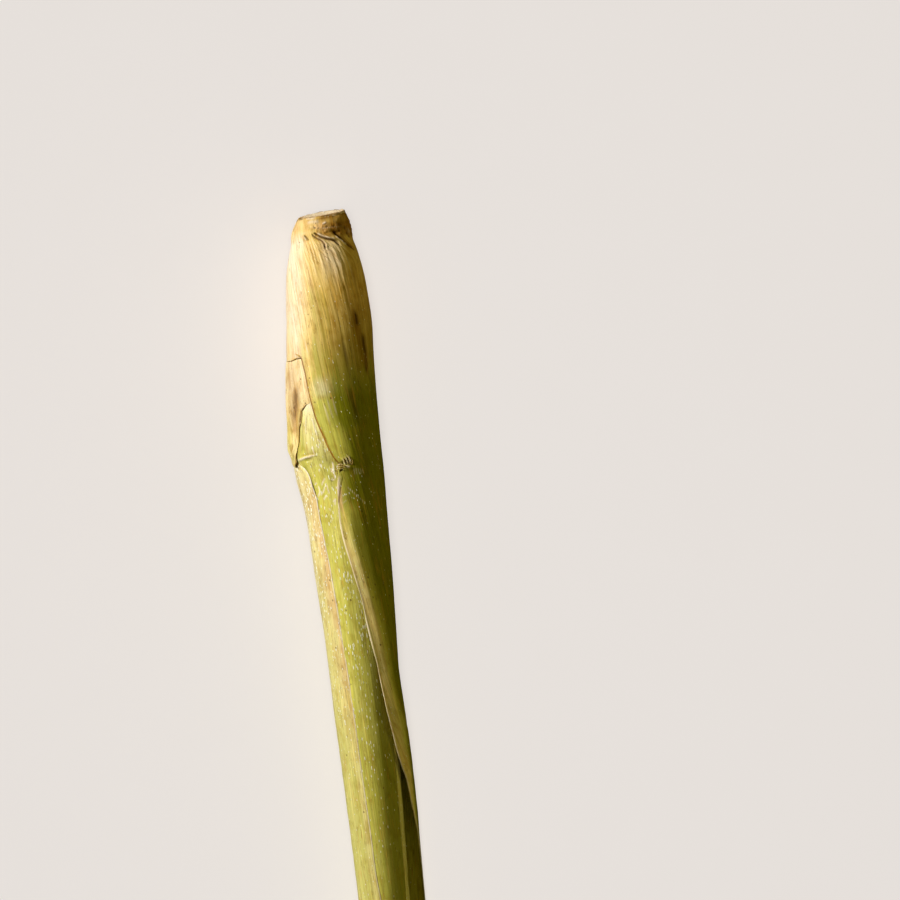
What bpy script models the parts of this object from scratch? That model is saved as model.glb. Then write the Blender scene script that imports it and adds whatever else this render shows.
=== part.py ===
"""A cut lemongrass stalk lying on its side, with its root end towards +Y.

Each leaf is a sheath rolled round the ones inside it. From the middle outwards the pieces are
the stem base, the tight roll of inner leaves, the open sheath, the dry sheath and the outer leaf.

Lengths are in millimetres and angles in degrees until place() turns them into metres.
A point on a leaf has a distance along the stalk, from the root cut (0) to the leaf cut (LENGTH),
and an angle round the section: 0 is the top, +90 is the +X side and 180 is the underside.
"""

import math

import bmesh
import bpy

MM = 0.001

LENGTH = 280.0
ROOT_Y = 139.9
SHIFT_X = 0.8
HEIGHT_RATIO = 0.96
LEAF_GAP = 0.3
SHEATH_WALL = 0.6
OUTER_WALL = 0.7
SECTION_SEGMENTS = 28

# The stalk without its outer leaf: its centre line and the half width of the open sheath round it.
CENTRE_X = [
    (0, 0.3), (5, -0.4), (15, -0.55), (24, -0.55), (37, -1.2), (48, -1.4), (58, -1.3),
    (68, -0.95), (80, -0.8), (102, -0.5), (142, -0.3), (172, -0.05), (220, 0.0), (LENGTH, 0.0),
]
CENTRE_Z = [
    (0, 9.8), (20, 10.2), (47, 10.3), (60, 10.2), (77, 9.95), (102, 9.4), (122, 8.85),
    (142, 8.3), (172, 7.3), (220, 6.8), (LENGTH, 6.5),
]
ROLL_HALF_WIDTH = [
    (10, 7.0), (15, 7.9), (20, 8.4), (30, 8.95), (40, 9.15), (50, 9.2), (60, 9.1), (68, 9.35),
    (77, 9.2), (92, 8.9), (102, 8.53), (112, 8.18), (122, 7.95), (142, 7.2), (172, 6.42),
    (220, 5.9), (LENGTH, 5.6),
]

# The stem base: a short solid butt, cut across at a slant, with a shoulder that the sheaths sit on.
STEM_HALF_WIDTH = [(0, 6.0), (1.2, 6.9), (2.6, 7.4), (4.4, 7.5), (5.2, 7.2), (5.6, 6.6), (10, 5.6)]
STEM_LENGTH = 10.0
INNER_ROLL_START = 10.6

# Each end cut is at a slant, in millimetres along the stalk per millimetre off its centre line.
ROOT_CUT_SLANT_X, ROOT_CUT_SLANT_Z, ROOT_CUT_REACH = -0.134, 0.2, 5.0
LEAF_CUT_SLANT_X, LEAF_CUT_REACH = 0.1, 20.0

# The open sheath shows a dry margin along the upper left and just meets the outer leaf on the right.
OPEN_START = 12.0
OPEN_MARGIN = [
    (58, -80), (61, -70), (62.6, -59), (64, -53), (67.5, -47), (72, -42), (80, -37), (92, -30),
    (104, -26), (119, -20.5), (137, -16), (155, -11), (164, -9.5), (172, -4), (220, 6), (LENGTH, 14),
]
OPEN_FAR_MARGIN = [(12, -340), (60, -330), (120, -305), (142, -300), (LENGTH, -296)]
OPEN_BULGE = [(50, 0), (61.5, 1.5), (65, 1.9), (70.5, 0.9), (77, 0)]

# The dry sheath stands out on the left below the outer leaf's tear, and narrows to a pinched end.
DRY_START, DRY_END = 12.0, 61.5
DRY_MARGIN = [
    (40, 20), (45, -20), (47.5, -42), (50, -47.5), (56.5, -50), (58, -54), (60, -65), (DRY_END, -72),
]
DRY_FAR_MARGIN = -165.0
DRY_BULGE = [(30, 0), (33, 0.1), (36.5, 1.2), (45, 1.8), (55, 2.1), (DRY_END, 1.7)]

# Both bulges are highest at this angle and die away round the section on either side of it.
BULGE_ANGLE = -95.0
BULGE_SPREAD = 34.0

# The outer leaf wraps the whole bulb and is torn across its left side. Then its blade leaves the
# stalk on the right, and lies along the surface there as a shallow trough.
OUTER_START = 5.5
OUTER_TEAR = 33.0
OUTER_TORN_EDGE = -146.0
OUTER_HALF_WIDTH = [
    (5, 7.8), (8, 8.3), (11, 8.9), (15, 9.85), (20, 10.35), (30, 10.95), (40, 11.2), (50, 11.25),
    (60, 11.1), (68, 10.45), (77, 10.17), (92, 9.9), (102, 9.53), (112, 9.2), (122, 8.93),
    (132, 7.6), (142, 6.27), (152, 5.6), (172, 5.3), (220, 5.4), (LENGTH, 5.6),
]
OUTER_SHIFT_X = [
    (112, 0), (122, 0.72), (132, 2.6), (142, 4.2), (152, 4.87), (172, 4.9), (220, 5.4), (LENGTH, 6.2),
]
OUTER_SHIFT_Z = [
    (112, 0), (122, -0.15), (132, -1.1), (142, -2.1), (152, -3.1), (172, -3.4), (LENGTH, -3.5),
]
OUTER_MARGIN = [
    (5, -70), (20, -58), (33, -42), (40, -32.5), (50.5, -22), (59, -8), (62, -1.5), (64, -4),
    (75, -7), (85.5, 1), (96.5, 13), (108, 22), (119, 30), (134, 33), (138, 37), (142, 46),
    (151, 58), (157, 73), (172, 86), (220, 92), (LENGTH, 95),
]
OUTER_FAR_MARGIN = [
    (60, 206), (80, 200), (100, 190), (120, 178), (142, 178), (172, 215), (220, 228), (LENGTH, 232),
]


def along(stations, distance):
    """The value at a distance along the stalk, on a smooth curve through (distance, value) stations."""
    if distance <= stations[0][0]:
        return stations[0][1]
    if distance >= stations[-1][0]:
        return stations[-1][1]
    last = len(stations) - 1
    i = next(k for k in range(last) if stations[k + 1][0] >= distance)
    (x0, y0), (x1, y1) = stations[i], stations[i + 1]
    step = x1 - x0

    def slope(k):
        before, after = stations[max(k - 1, 0)], stations[min(k + 1, last)]
        left = (stations[k][1] - before[1]) / max(stations[k][0] - before[0], 1e-9)
        right = (after[1] - stations[k][1]) / max(after[0] - stations[k][0], 1e-9)
        if left * right <= 0:
            return 0.0
        return 2 * left * right / (left + right)

    t = (distance - x0) / step
    return (
        y0 * (1 + 2 * t) * (1 - t) ** 2
        + y1 * t * t * (3 - 2 * t)
        + step * (slope(i) * t * (1 - t) ** 2 - slope(i + 1) * t * t * (1 - t))
    )


def bulge(heights, distance, angle):
    """The extra radius where a leaf stands out from the stalk on the left."""
    off_round = (angle - BULGE_ANGLE) / BULGE_SPREAD
    return along(heights, distance) * math.exp(-(off_round**2))


def place(x, distance, z):
    """Stalk millimetres to metres in the object's frame, with both ends of the stalk cut at a slant.

    The underside is pressed flat where it would go below the surface that the stalk lies on.
    """
    off_x, off_z = x - along(CENTRE_X, distance), z - along(CENTRE_Z, distance)
    root = max(0.0, 1.0 - distance / ROOT_CUT_REACH)
    leaf_end = max(0.0, 1.0 - (LENGTH - distance) / LEAF_CUT_REACH)
    distance += root * (ROOT_CUT_SLANT_X * off_x + ROOT_CUT_SLANT_Z * off_z)
    distance += leaf_end * LEAF_CUT_SLANT_X * off_x
    return ((x + SHIFT_X) * MM, (ROOT_Y - distance) * MM, max(z, 0.0) * MM)


def section_point(distance, angle, half_width, shift_x=0.0, shift_z=0.0):
    """A point on the oval section at a distance along the stalk."""
    turn = math.radians(angle)
    x = along(CENTRE_X, distance) + shift_x + half_width * math.sin(turn)
    z = along(CENTRE_Z, distance) + shift_z + half_width * HEIGHT_RATIO * math.cos(turn)
    return x, distance, z


def roll_half_width(distance):
    return along(ROLL_HALF_WIDTH, distance)


def open_sheath_point(distance, share):
    angle = along(OPEN_MARGIN, distance) * (1 - share) + along(OPEN_FAR_MARGIN, distance) * share
    half_width = roll_half_width(distance) + bulge(OPEN_BULGE, distance, angle)
    return section_point(distance, angle, half_width)


def dry_sheath_point(distance, share):
    angle = along(DRY_MARGIN, distance) * (1 - share) + DRY_FAR_MARGIN * share
    half_width = roll_half_width(distance) + LEAF_GAP + SHEATH_WALL
    return section_point(distance, angle, half_width + bulge(DRY_BULGE, distance, angle))


def outer_leaf_point(distance, share):
    """Shares below 0 are on the part of the leaf that was torn off past OUTER_TEAR."""
    margin, far = along(OUTER_MARGIN, distance), along(OUTER_FAR_MARGIN, distance)
    if share < 0:
        angle = margin + (margin - OUTER_TORN_EDGE) * share
    else:
        angle = margin + (far - margin) * share
    return section_point(
        distance,
        angle,
        along(OUTER_HALF_WIDTH, distance),
        along(OUTER_SHIFT_X, distance),
        along(OUTER_SHIFT_Z, distance),
    )


def spaced(stops):
    """Distances for the rows of a leaf: each stop is (distance, rows since the stop before it)."""
    rows = [stops[0][0]]
    for (start, _), (end, count) in zip(stops, stops[1:]):
        rows += [start + (end - start) * (k + 1) / count for k in range(count)]
    return rows


def material(name, colour, roughness):
    made = bpy.data.materials.new(name)
    made.use_nodes = True
    surface = made.node_tree.nodes["Principled BSDF"]
    surface.inputs["Base Color"].default_value = (*colour, 1.0)
    surface.inputs["Roughness"].default_value = roughness
    surface.inputs["Metallic"].default_value = 0.0
    made.diffuse_color = (*colour, 1.0)
    return made


def add_object(name, bm, collection, surface):
    mesh = bpy.data.meshes.new(name)
    bm.to_mesh(mesh)
    bm.free()
    mesh.shade_smooth()
    mesh.set_sharp_from_angle(angle=math.radians(40))
    mesh.materials.append(surface)
    obj = bpy.data.objects.new(name, mesh)
    collection.objects.link(obj)
    return obj


def leaf(name, collection, surface, rows, columns, point, wall, keep=None):
    """An open sheath from a grid bent round the stalk, thickened inwards.

    columns are shares from one margin to the other. keep(distance, share) leaves out grid faces.
    """
    bm = bmesh.new()
    bmesh.ops.create_grid(
        bm, x_segments=len(columns) - 1, y_segments=len(rows) - 1, size=0.5
    )
    across = {v: round((v.co.x + 0.5) * (len(columns) - 1)) for v in bm.verts}
    down = {v: round((v.co.y + 0.5) * (len(rows) - 1)) for v in bm.verts}
    if keep:
        torn = []
        for face in bm.faces:
            share = sum(columns[across[v]] for v in face.verts) / len(face.verts)
            distance = sum(rows[down[v]] for v in face.verts) / len(face.verts)
            if not keep(distance, share):
                torn.append(face)
        bmesh.ops.delete(bm, geom=torn, context="FACES")
    for v in bm.verts:
        v.co = place(*point(rows[down[v]], columns[across[v]]))
    turn_outwards(bm)
    obj = add_object(name, bm, collection, surface)
    thicken = obj.modifiers.new("wall", "SOLIDIFY")
    thicken.thickness = wall * MM
    thicken.offset = -1.0
    thicken.use_even_offset = True
    return obj


def turn_outwards(bm):
    """Turns the grid's faces away from the stalk's centre line if they point at it."""
    bm.normal_update()
    facing = 0.0
    for face in bm.faces:
        middle = face.calc_center_median()
        distance = ROOT_Y - middle.y / MM
        out_x = middle.x / MM - SHIFT_X - along(CENTRE_X, distance)
        out_z = middle.z / MM - along(CENTRE_Z, distance)
        facing += (face.normal.x * out_x + face.normal.z * out_z) * face.calc_area()
    if facing < 0:
        bmesh.ops.reverse_faces(bm, faces=bm.faces)


def roll(name, collection, surface, rows, half_width):
    """A closed solid of oval sections at the rows' distances, from a capped cylinder cut into rings."""
    bm = bmesh.new()
    bmesh.ops.create_cone(
        bm, cap_ends=True, segments=SECTION_SEGMENTS, radius1=1.0, radius2=1.0, depth=1.0
    )
    sides = [e for e in bm.edges if abs(e.verts[0].co.z - e.verts[1].co.z) > 0.5]
    bmesh.ops.subdivide_edges(bm, edges=sides, cuts=len(rows) - 2)
    for v in bm.verts:
        distance = rows[round((v.co.z + 0.5) * (len(rows) - 1))]
        turn = math.degrees(math.atan2(v.co.x, v.co.y))
        v.co = place(*section_point(distance, turn, half_width(distance)))
    bm.normal_update()
    bmesh.ops.recalc_face_normals(bm, faces=bm.faces)
    return add_object(name, bm, collection, surface)


def stem_half_width(distance):
    return along(STEM_HALF_WIDTH, distance)


def inner_half_width(distance):
    return roll_half_width(distance) - SHEATH_WALL - LEAF_GAP


def add_stem_base(collection):
    surface = material("stem_base", (0.62, 0.40, 0.16), 0.6)
    rows = spaced([(0, 0), (5.2, 5), (5.6, 1), (STEM_LENGTH, 2)])
    roll("stem_base", collection, surface, rows, stem_half_width)


def add_inner_leaves(collection):
    surface = material("inner_leaves", (0.50, 0.52, 0.14), 0.5)
    rows = spaced([(INNER_ROLL_START, 0), (30, 4), (142, 12), (LENGTH, 8)])
    roll("inner_leaves", collection, surface, rows, inner_half_width)


def add_open_sheath(collection):
    surface = material("open_sheath", (0.60, 0.52, 0.22), 0.55)
    rows = spaced([(OPEN_START, 0), (58, 6), (80, 7), (142, 7), (LENGTH, 7)])
    columns = [k / 20 for k in range(21)]
    leaf("open_sheath", collection, surface, rows, columns, open_sheath_point, SHEATH_WALL)


def add_dry_sheath(collection):
    surface = material("dry_sheath", (0.80, 0.58, 0.27), 0.65)
    rows = spaced([(DRY_START, 0), (40, 5), (DRY_END, 9)])
    columns = [k / 14 for k in range(15)]
    leaf("dry_sheath", collection, surface, rows, columns, dry_sheath_point, SHEATH_WALL)


def add_outer_leaf(collection):
    surface = material("outer_leaf", (0.55, 0.45, 0.14), 0.5)
    rows = spaced([(OUTER_START, 0), (OUTER_TEAR, 6), (62, 6), (152, 15), (LENGTH, 8)])
    torn_columns, kept_columns = 6, 20
    columns = [(k - torn_columns) / torn_columns for k in range(torn_columns)]
    columns += [k / kept_columns for k in range(kept_columns + 1)]
    leaf(
        "outer_leaf",
        collection,
        surface,
        rows,
        columns,
        outer_leaf_point,
        OUTER_WALL,
        keep=lambda distance, share: share > 0 or distance < OUTER_TEAR,
    )


def main():
    for obj in list(bpy.data.objects):
        bpy.data.objects.remove(obj)
    collection = bpy.data.collections.new("lemongrass_stalk")
    bpy.context.scene.collection.children.link(collection)
    add_stem_base(collection)
    add_inner_leaves(collection)
    add_open_sheath(collection)
    add_dry_sheath(collection)
    add_outer_leaf(collection)


main()
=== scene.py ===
"""The looks of a cut lemongrass stalk that lies on its side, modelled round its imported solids.

Each visible leaf is a fine sheet wrapped round the stalk where its solid lies, with its folds, ribs
and torn edges in the mesh and its colours in a procedural finish.

Lengths are in millimetres and angles in degrees until Stalk.place() turns them into metres.
A place on a leaf is its distance along the stalk from the root cut, and either the angle round the
section, 0 at the top and +90 on the +X side, or its offset across the stalk as seen from above.
"""

import logging
import math
from dataclasses import dataclass
from enum import Enum
from typing import Any, Mapping

import bmesh
import bpy
import numpy as np
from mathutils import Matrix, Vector


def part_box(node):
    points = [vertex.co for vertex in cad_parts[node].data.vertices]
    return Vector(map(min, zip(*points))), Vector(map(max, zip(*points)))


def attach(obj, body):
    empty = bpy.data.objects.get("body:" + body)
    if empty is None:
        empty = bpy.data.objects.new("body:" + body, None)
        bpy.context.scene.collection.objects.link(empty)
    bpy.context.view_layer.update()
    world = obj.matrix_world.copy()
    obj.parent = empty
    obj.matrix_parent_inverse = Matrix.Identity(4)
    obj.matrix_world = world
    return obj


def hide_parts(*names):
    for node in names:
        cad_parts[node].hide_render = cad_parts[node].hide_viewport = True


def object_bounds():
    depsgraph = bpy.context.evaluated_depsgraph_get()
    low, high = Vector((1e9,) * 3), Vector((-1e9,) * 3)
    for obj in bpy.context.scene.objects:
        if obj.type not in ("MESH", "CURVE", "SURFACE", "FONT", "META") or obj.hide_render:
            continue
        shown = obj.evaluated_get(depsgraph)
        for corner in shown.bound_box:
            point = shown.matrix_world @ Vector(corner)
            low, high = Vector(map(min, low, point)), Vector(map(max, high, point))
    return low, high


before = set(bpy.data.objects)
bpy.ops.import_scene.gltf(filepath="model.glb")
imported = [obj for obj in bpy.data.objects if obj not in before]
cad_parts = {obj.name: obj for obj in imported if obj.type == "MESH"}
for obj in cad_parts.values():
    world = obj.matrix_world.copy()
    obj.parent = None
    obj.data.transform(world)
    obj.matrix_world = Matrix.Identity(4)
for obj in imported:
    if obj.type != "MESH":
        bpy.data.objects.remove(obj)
CAD_LOW, CAD_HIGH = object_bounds()

LOG = logging.getLogger("lemongrass")
MM = 0.001
BODY = "root"

Array = np.ndarray
Path = tuple[tuple[float, float], ...]
Colour = tuple[float, float, float]
Place = tuple[float, float, float]


# ---- Curves, noise and places on the stalk ----


@dataclass(frozen=True)
class Curve:
    """A smooth curve through (position, value) stations that never overshoots them."""

    stations: Path

    def at(self, position: Array | float) -> Array:
        """Reads the curve.

        Args:
            position: Where to read it; past the ends it keeps the end values.

        Returns:
            The values at those positions.
        """
        xs, ys = np.array(self.stations, float).T
        step = np.diff(xs)
        rise = np.diff(ys) / step
        slope = np.zeros(len(xs))
        same_way = rise[:-1] * rise[1:] > 0
        total = np.where(same_way, rise[:-1] + rise[1:], 1.0)
        slope[1:-1] = np.where(same_way, 2 * rise[:-1] * rise[1:] / total, 0.0)
        inside = np.clip(position, xs[0], xs[-1])
        i = np.clip(np.searchsorted(xs, inside, side="right") - 1, 0, len(step) - 1)
        t = (inside - xs[i]) / step[i]
        ends = ys[i] * (1 + 2 * t) * (1 - t) ** 2 + ys[i + 1] * t**2 * (3 - 2 * t)
        return ends + step[i] * t * (1 - t) * (slope[i] * (1 - t) - slope[i + 1] * t)


def constant(value: float) -> Curve:
    """A curve with one value all along."""
    return Curve(((0.0, value), (1.0, value)))


def ease(value: Array | float, low: float, high: float) -> Array:
    """A smooth step from 0 at low to 1 at high."""
    t = np.clip((np.asarray(value, float) - low) / (high - low), 0.0, 1.0)
    return t * t * (3 - 2 * t)


def hump(offset: Array | float, width: Array | float) -> Array:
    """1 where the offset is 0, dying away on both sides over a width."""
    return np.exp(-((offset / width) ** 2))


@dataclass(frozen=True)
class Grain:
    """Seeded smooth noise about 0, with one size of cell across the fibres and another along them."""

    seed: int
    across: float
    along: float
    cells: int = 96

    def at(self, u: Array, v: Array) -> Array:
        """Reads the noise at places across and along the fibres.

        Args:
            u: Millimetres across the fibres.
            v: Millimetres along the fibres.

        Returns:
            Values mostly between -1 and 1.
        """
        lattice = np.random.default_rng(self.seed).uniform(-1, 1, (self.cells, self.cells))
        x, y = np.asarray(u) / self.across, np.asarray(v) / self.along
        i, j = np.floor(x).astype(int), np.floor(y).astype(int)
        s, t = ease(x - i, 0, 1), ease(y - j, 0, 1)
        i0, i1 = i % self.cells, (i + 1) % self.cells
        j0, j1 = j % self.cells, (j + 1) % self.cells
        near = lattice[i0, j0] * (1 - s) + lattice[i1, j0] * s
        far = lattice[i0, j1] * (1 - s) + lattice[i1, j1] * s
        return near * (1 - t) + far * t


@dataclass(frozen=True)
class Stalk:
    """The stalk's centre line, as in the solids, and how its places turn into the object's frame.

    Each end is cut at a slant: its shift grows over the reach of the cut, by a share of how far a
    place is off the centre line.
    """

    length: float = 280.0
    cut_overhang: float = 1.4
    side_shift: float = 0.8
    height_ratio: float = 0.96
    core_height: float = 6.86
    centre_x: Curve = Curve(
        (
            (0, 0.3), (5, -0.4), (15, -0.55), (24, -0.55), (37, -1.2), (48, -1.4), (58, -1.3), (68, -0.95),
            (80, -0.8), (102, -0.5), (142, -0.3), (172, -0.05), (220, 0),
        )
    )
    centre_z: Curve = Curve(
        (
            (0, 9.8), (20, 10.2), (47, 10.3), (60, 10.2), (77, 9.95), (102, 9.4), (122, 8.85), (142, 8.3),
            (172, 7.3), (220, 6.8), (280, 6.5),
        )
    )
    roll: Curve = Curve(
        (
            (10, 7), (15, 7.9), (20, 8.4), (30, 8.95), (40, 9.15), (50, 9.2), (60, 9.1), (68, 9.35),
            (77, 9.2), (92, 8.9), (102, 8.53), (112, 8.18), (122, 7.95), (142, 7.2), (172, 6.42),
            (220, 5.9), (280, 5.6),
        )
    )
    root_slant_x: float = -0.085
    root_slant_z: float = 0.19
    root_lift: float = 0.92
    root_reach: float = 5.0
    leaf_slant_x: float = 0.1
    leaf_reach: float = 20.0

    def section(self, distance: Array, angle: Array, radius: Array) -> tuple[Array, Array]:
        """The x and z of places on the oval section.

        Args:
            distance: Distance along the stalk.
            angle: Angle round the section.
            radius: Half width of the section there.

        Returns:
            The offset across the stalk and the height, in millimetres.
        """
        turn = np.radians(angle)
        x = self.centre_x.at(distance) + radius * np.sin(turn)
        z = self.centre_z.at(distance) + radius * self.height_ratio * np.cos(turn)
        return x, z

    def place(self, x: Array, distance: Array, z: Array) -> Array:
        """Turns stalk millimetres into points of the object's frame.

        Args:
            x: Offset across the stalk.
            distance: Distance along the stalk, before the end cuts' slant.
            z: Height above the surface that the stalk lies on.

        Returns:
            An array of points in metres, pressed flat where they would go below the surface.
        """
        off_x = x - self.centre_x.at(distance)
        off_z = z - self.centre_z.at(distance)
        root = np.clip(1 - distance / self.root_reach, 0, None)
        leaf_end = np.clip(1 - (self.length - distance) / self.leaf_reach, 0, None)
        slanted = distance + root * (self.root_slant_x * off_x + self.root_slant_z * off_z - self.root_lift)
        slanted = slanted + leaf_end * self.leaf_slant_x * off_x
        root_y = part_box("stem_base")[1].y / MM - self.cut_overhang
        return np.stack([x + self.side_shift, root_y - slanted, np.maximum(z, 0)], axis=1) * MM


STALK = Stalk()


# ---- What is pressed into a leaf and painted on it ----


class Tone(Enum):
    """What a leaf is painted with: a number from 0 to 1 at each vertex, which its finish reads."""

    # SHADE is real bruises and chips, and also painted shade in creases and along edges; CREAM is pale tissue
    # and wax, and in places a painted highlight on ridges; OLIVE and BROWN are the leaf's own colours, and in
    # places painted shade on the side away from the key light.
    GREEN = "green"
    OLIVE = "olive"
    BROWN = "brown"
    CREAM = "cream"
    SHADE = "shade"
    ROSE = "rose"
    WAX = "wax"


def path_offsets(points: Array, path: Array) -> tuple[Array, Array, Array]:
    """How places on a flattened leaf lie beside a path on it.

    Args:
        points: An array of (distance, arc) places.
        path: The path's (distance, arc) points.

    Returns:
        The distance from the path, which side of it, +1 or -1, and the share of its length passed.
    """
    lengths = np.linalg.norm(np.diff(path, axis=0), axis=1)
    passed = np.concatenate([[0.0], np.cumsum(lengths)])
    best = np.full(len(points), np.inf)
    side = np.ones(len(points))
    share = np.zeros(len(points))
    for k, length in enumerate(lengths):
        run = (path[k + 1] - path[k]) / length
        off = points - path[k]
        t = np.clip(off @ run, 0, length)
        gap = np.linalg.norm(off - t[:, None] * run, axis=1)
        nearer = gap < best
        best = np.where(nearer, gap, best)
        turn = np.where(run[0] * off[:, 1] - run[1] * off[:, 0] >= 0, 1.0, -1.0)
        side = np.where(nearer, turn, side)
        share = np.where(nearer, (passed[k] + t) / passed[-1], share)
    return best, side, share


def tapered(share: Array, taper: float) -> Array:
    """1 along the middle of a path and 0 at its ends, over a taper that is a share of its length."""
    return ease(share, 0, taper) * ease(1 - share, 0, taper)


@dataclass(frozen=True)
class Fold:
    """A ridge, or a groove if its height is negative, along a path of (distance, offset) points.

    It dies away over one width on its -X side and another on its +X side, so a fold with a narrow
    side stands over what is there, as the edge of a leaf does.
    """

    path: Path
    height: float
    left: float
    right: float
    taper: float = 0.2
    tone: Tone | None = None
    strength: float = 0.6

    def stain_and_painted_light(self) -> "Mark":
        """The stroke of tone that lies in the fold: a stain, which in dark-stained grooves is partly painted
        shade and on cream-stained ridges partly a painted highlight.
        """
        width = (self.left + self.right) / 2
        return Mark(self.tone or Tone.BROWN, self.path, width, self.strength, self.taper)


@dataclass(frozen=True)
class Mark:
    """A soft stroke of a tone along a path of (distance, offset) points."""

    tone: Tone
    path: Path
    width: float
    strength: float
    taper: float


def strokes(tone: Tone, *rows: tuple[Path, float, float, float]) -> tuple[Mark, ...]:
    """Marks of one tone, from each one's path, width, strength and taper."""
    return tuple(Mark(tone, *row) for row in rows)


@dataclass(frozen=True)
class Wash:
    """A tone over a broad area.

    Its strength is a curve along the stalk times a curve across it, read from a line of angles.
    """

    tone: Tone
    along: Curve
    across: Curve
    line: Curve = constant(0.0)


@dataclass(frozen=True)
class Hem:
    """A tone in a narrow band along the edge of a leaf, with its strength by distance."""

    tone: Tone
    along: Curve
    width: float


def stops(*pairs: tuple[float, int]) -> Array:
    """Positions from one stop to the next.

    Args:
        pairs: A position and the number of steps that lead up to it from the pair before.

    Returns:
        All the positions, in order.
    """
    runs = [np.array([pairs[0][0]], float)]
    for (start, _), (end, count) in zip(pairs, pairs[1:]):
        runs.append(np.linspace(start, end, count + 1)[1:])
    return np.concatenate(runs)


# ---- Shader graphs ----


class Flow:
    """A shader socket that can be written in sums, each of which adds its Math node."""

    def __init__(self, graph: "Graph", socket: bpy.types.NodeSocket) -> None:
        """Wraps an output socket of a node in the graph."""
        self.graph = graph
        self.socket = socket

    def __add__(self, other: "Flow | float") -> "Flow":
        """Adds."""
        return self.graph.math("ADD", self, other)

    __radd__ = __add__

    def __sub__(self, other: "Flow | float") -> "Flow":
        """Subtracts."""
        return self.graph.math("SUBTRACT", self, other)

    def __rsub__(self, other: "Flow | float") -> "Flow":
        """Subtracts from a number."""
        return self.graph.math("SUBTRACT", other, self)

    def __mul__(self, other: "Flow | float") -> "Flow":
        """Multiplies."""
        return self.graph.math("MULTIPLY", self, other)

    __rmul__ = __mul__

    def clamped(self) -> "Flow":
        """The value kept between 0 and 1."""
        return self.graph.math("MINIMUM", self.graph.math("MAXIMUM", self, 0.0), 1.0)


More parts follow.
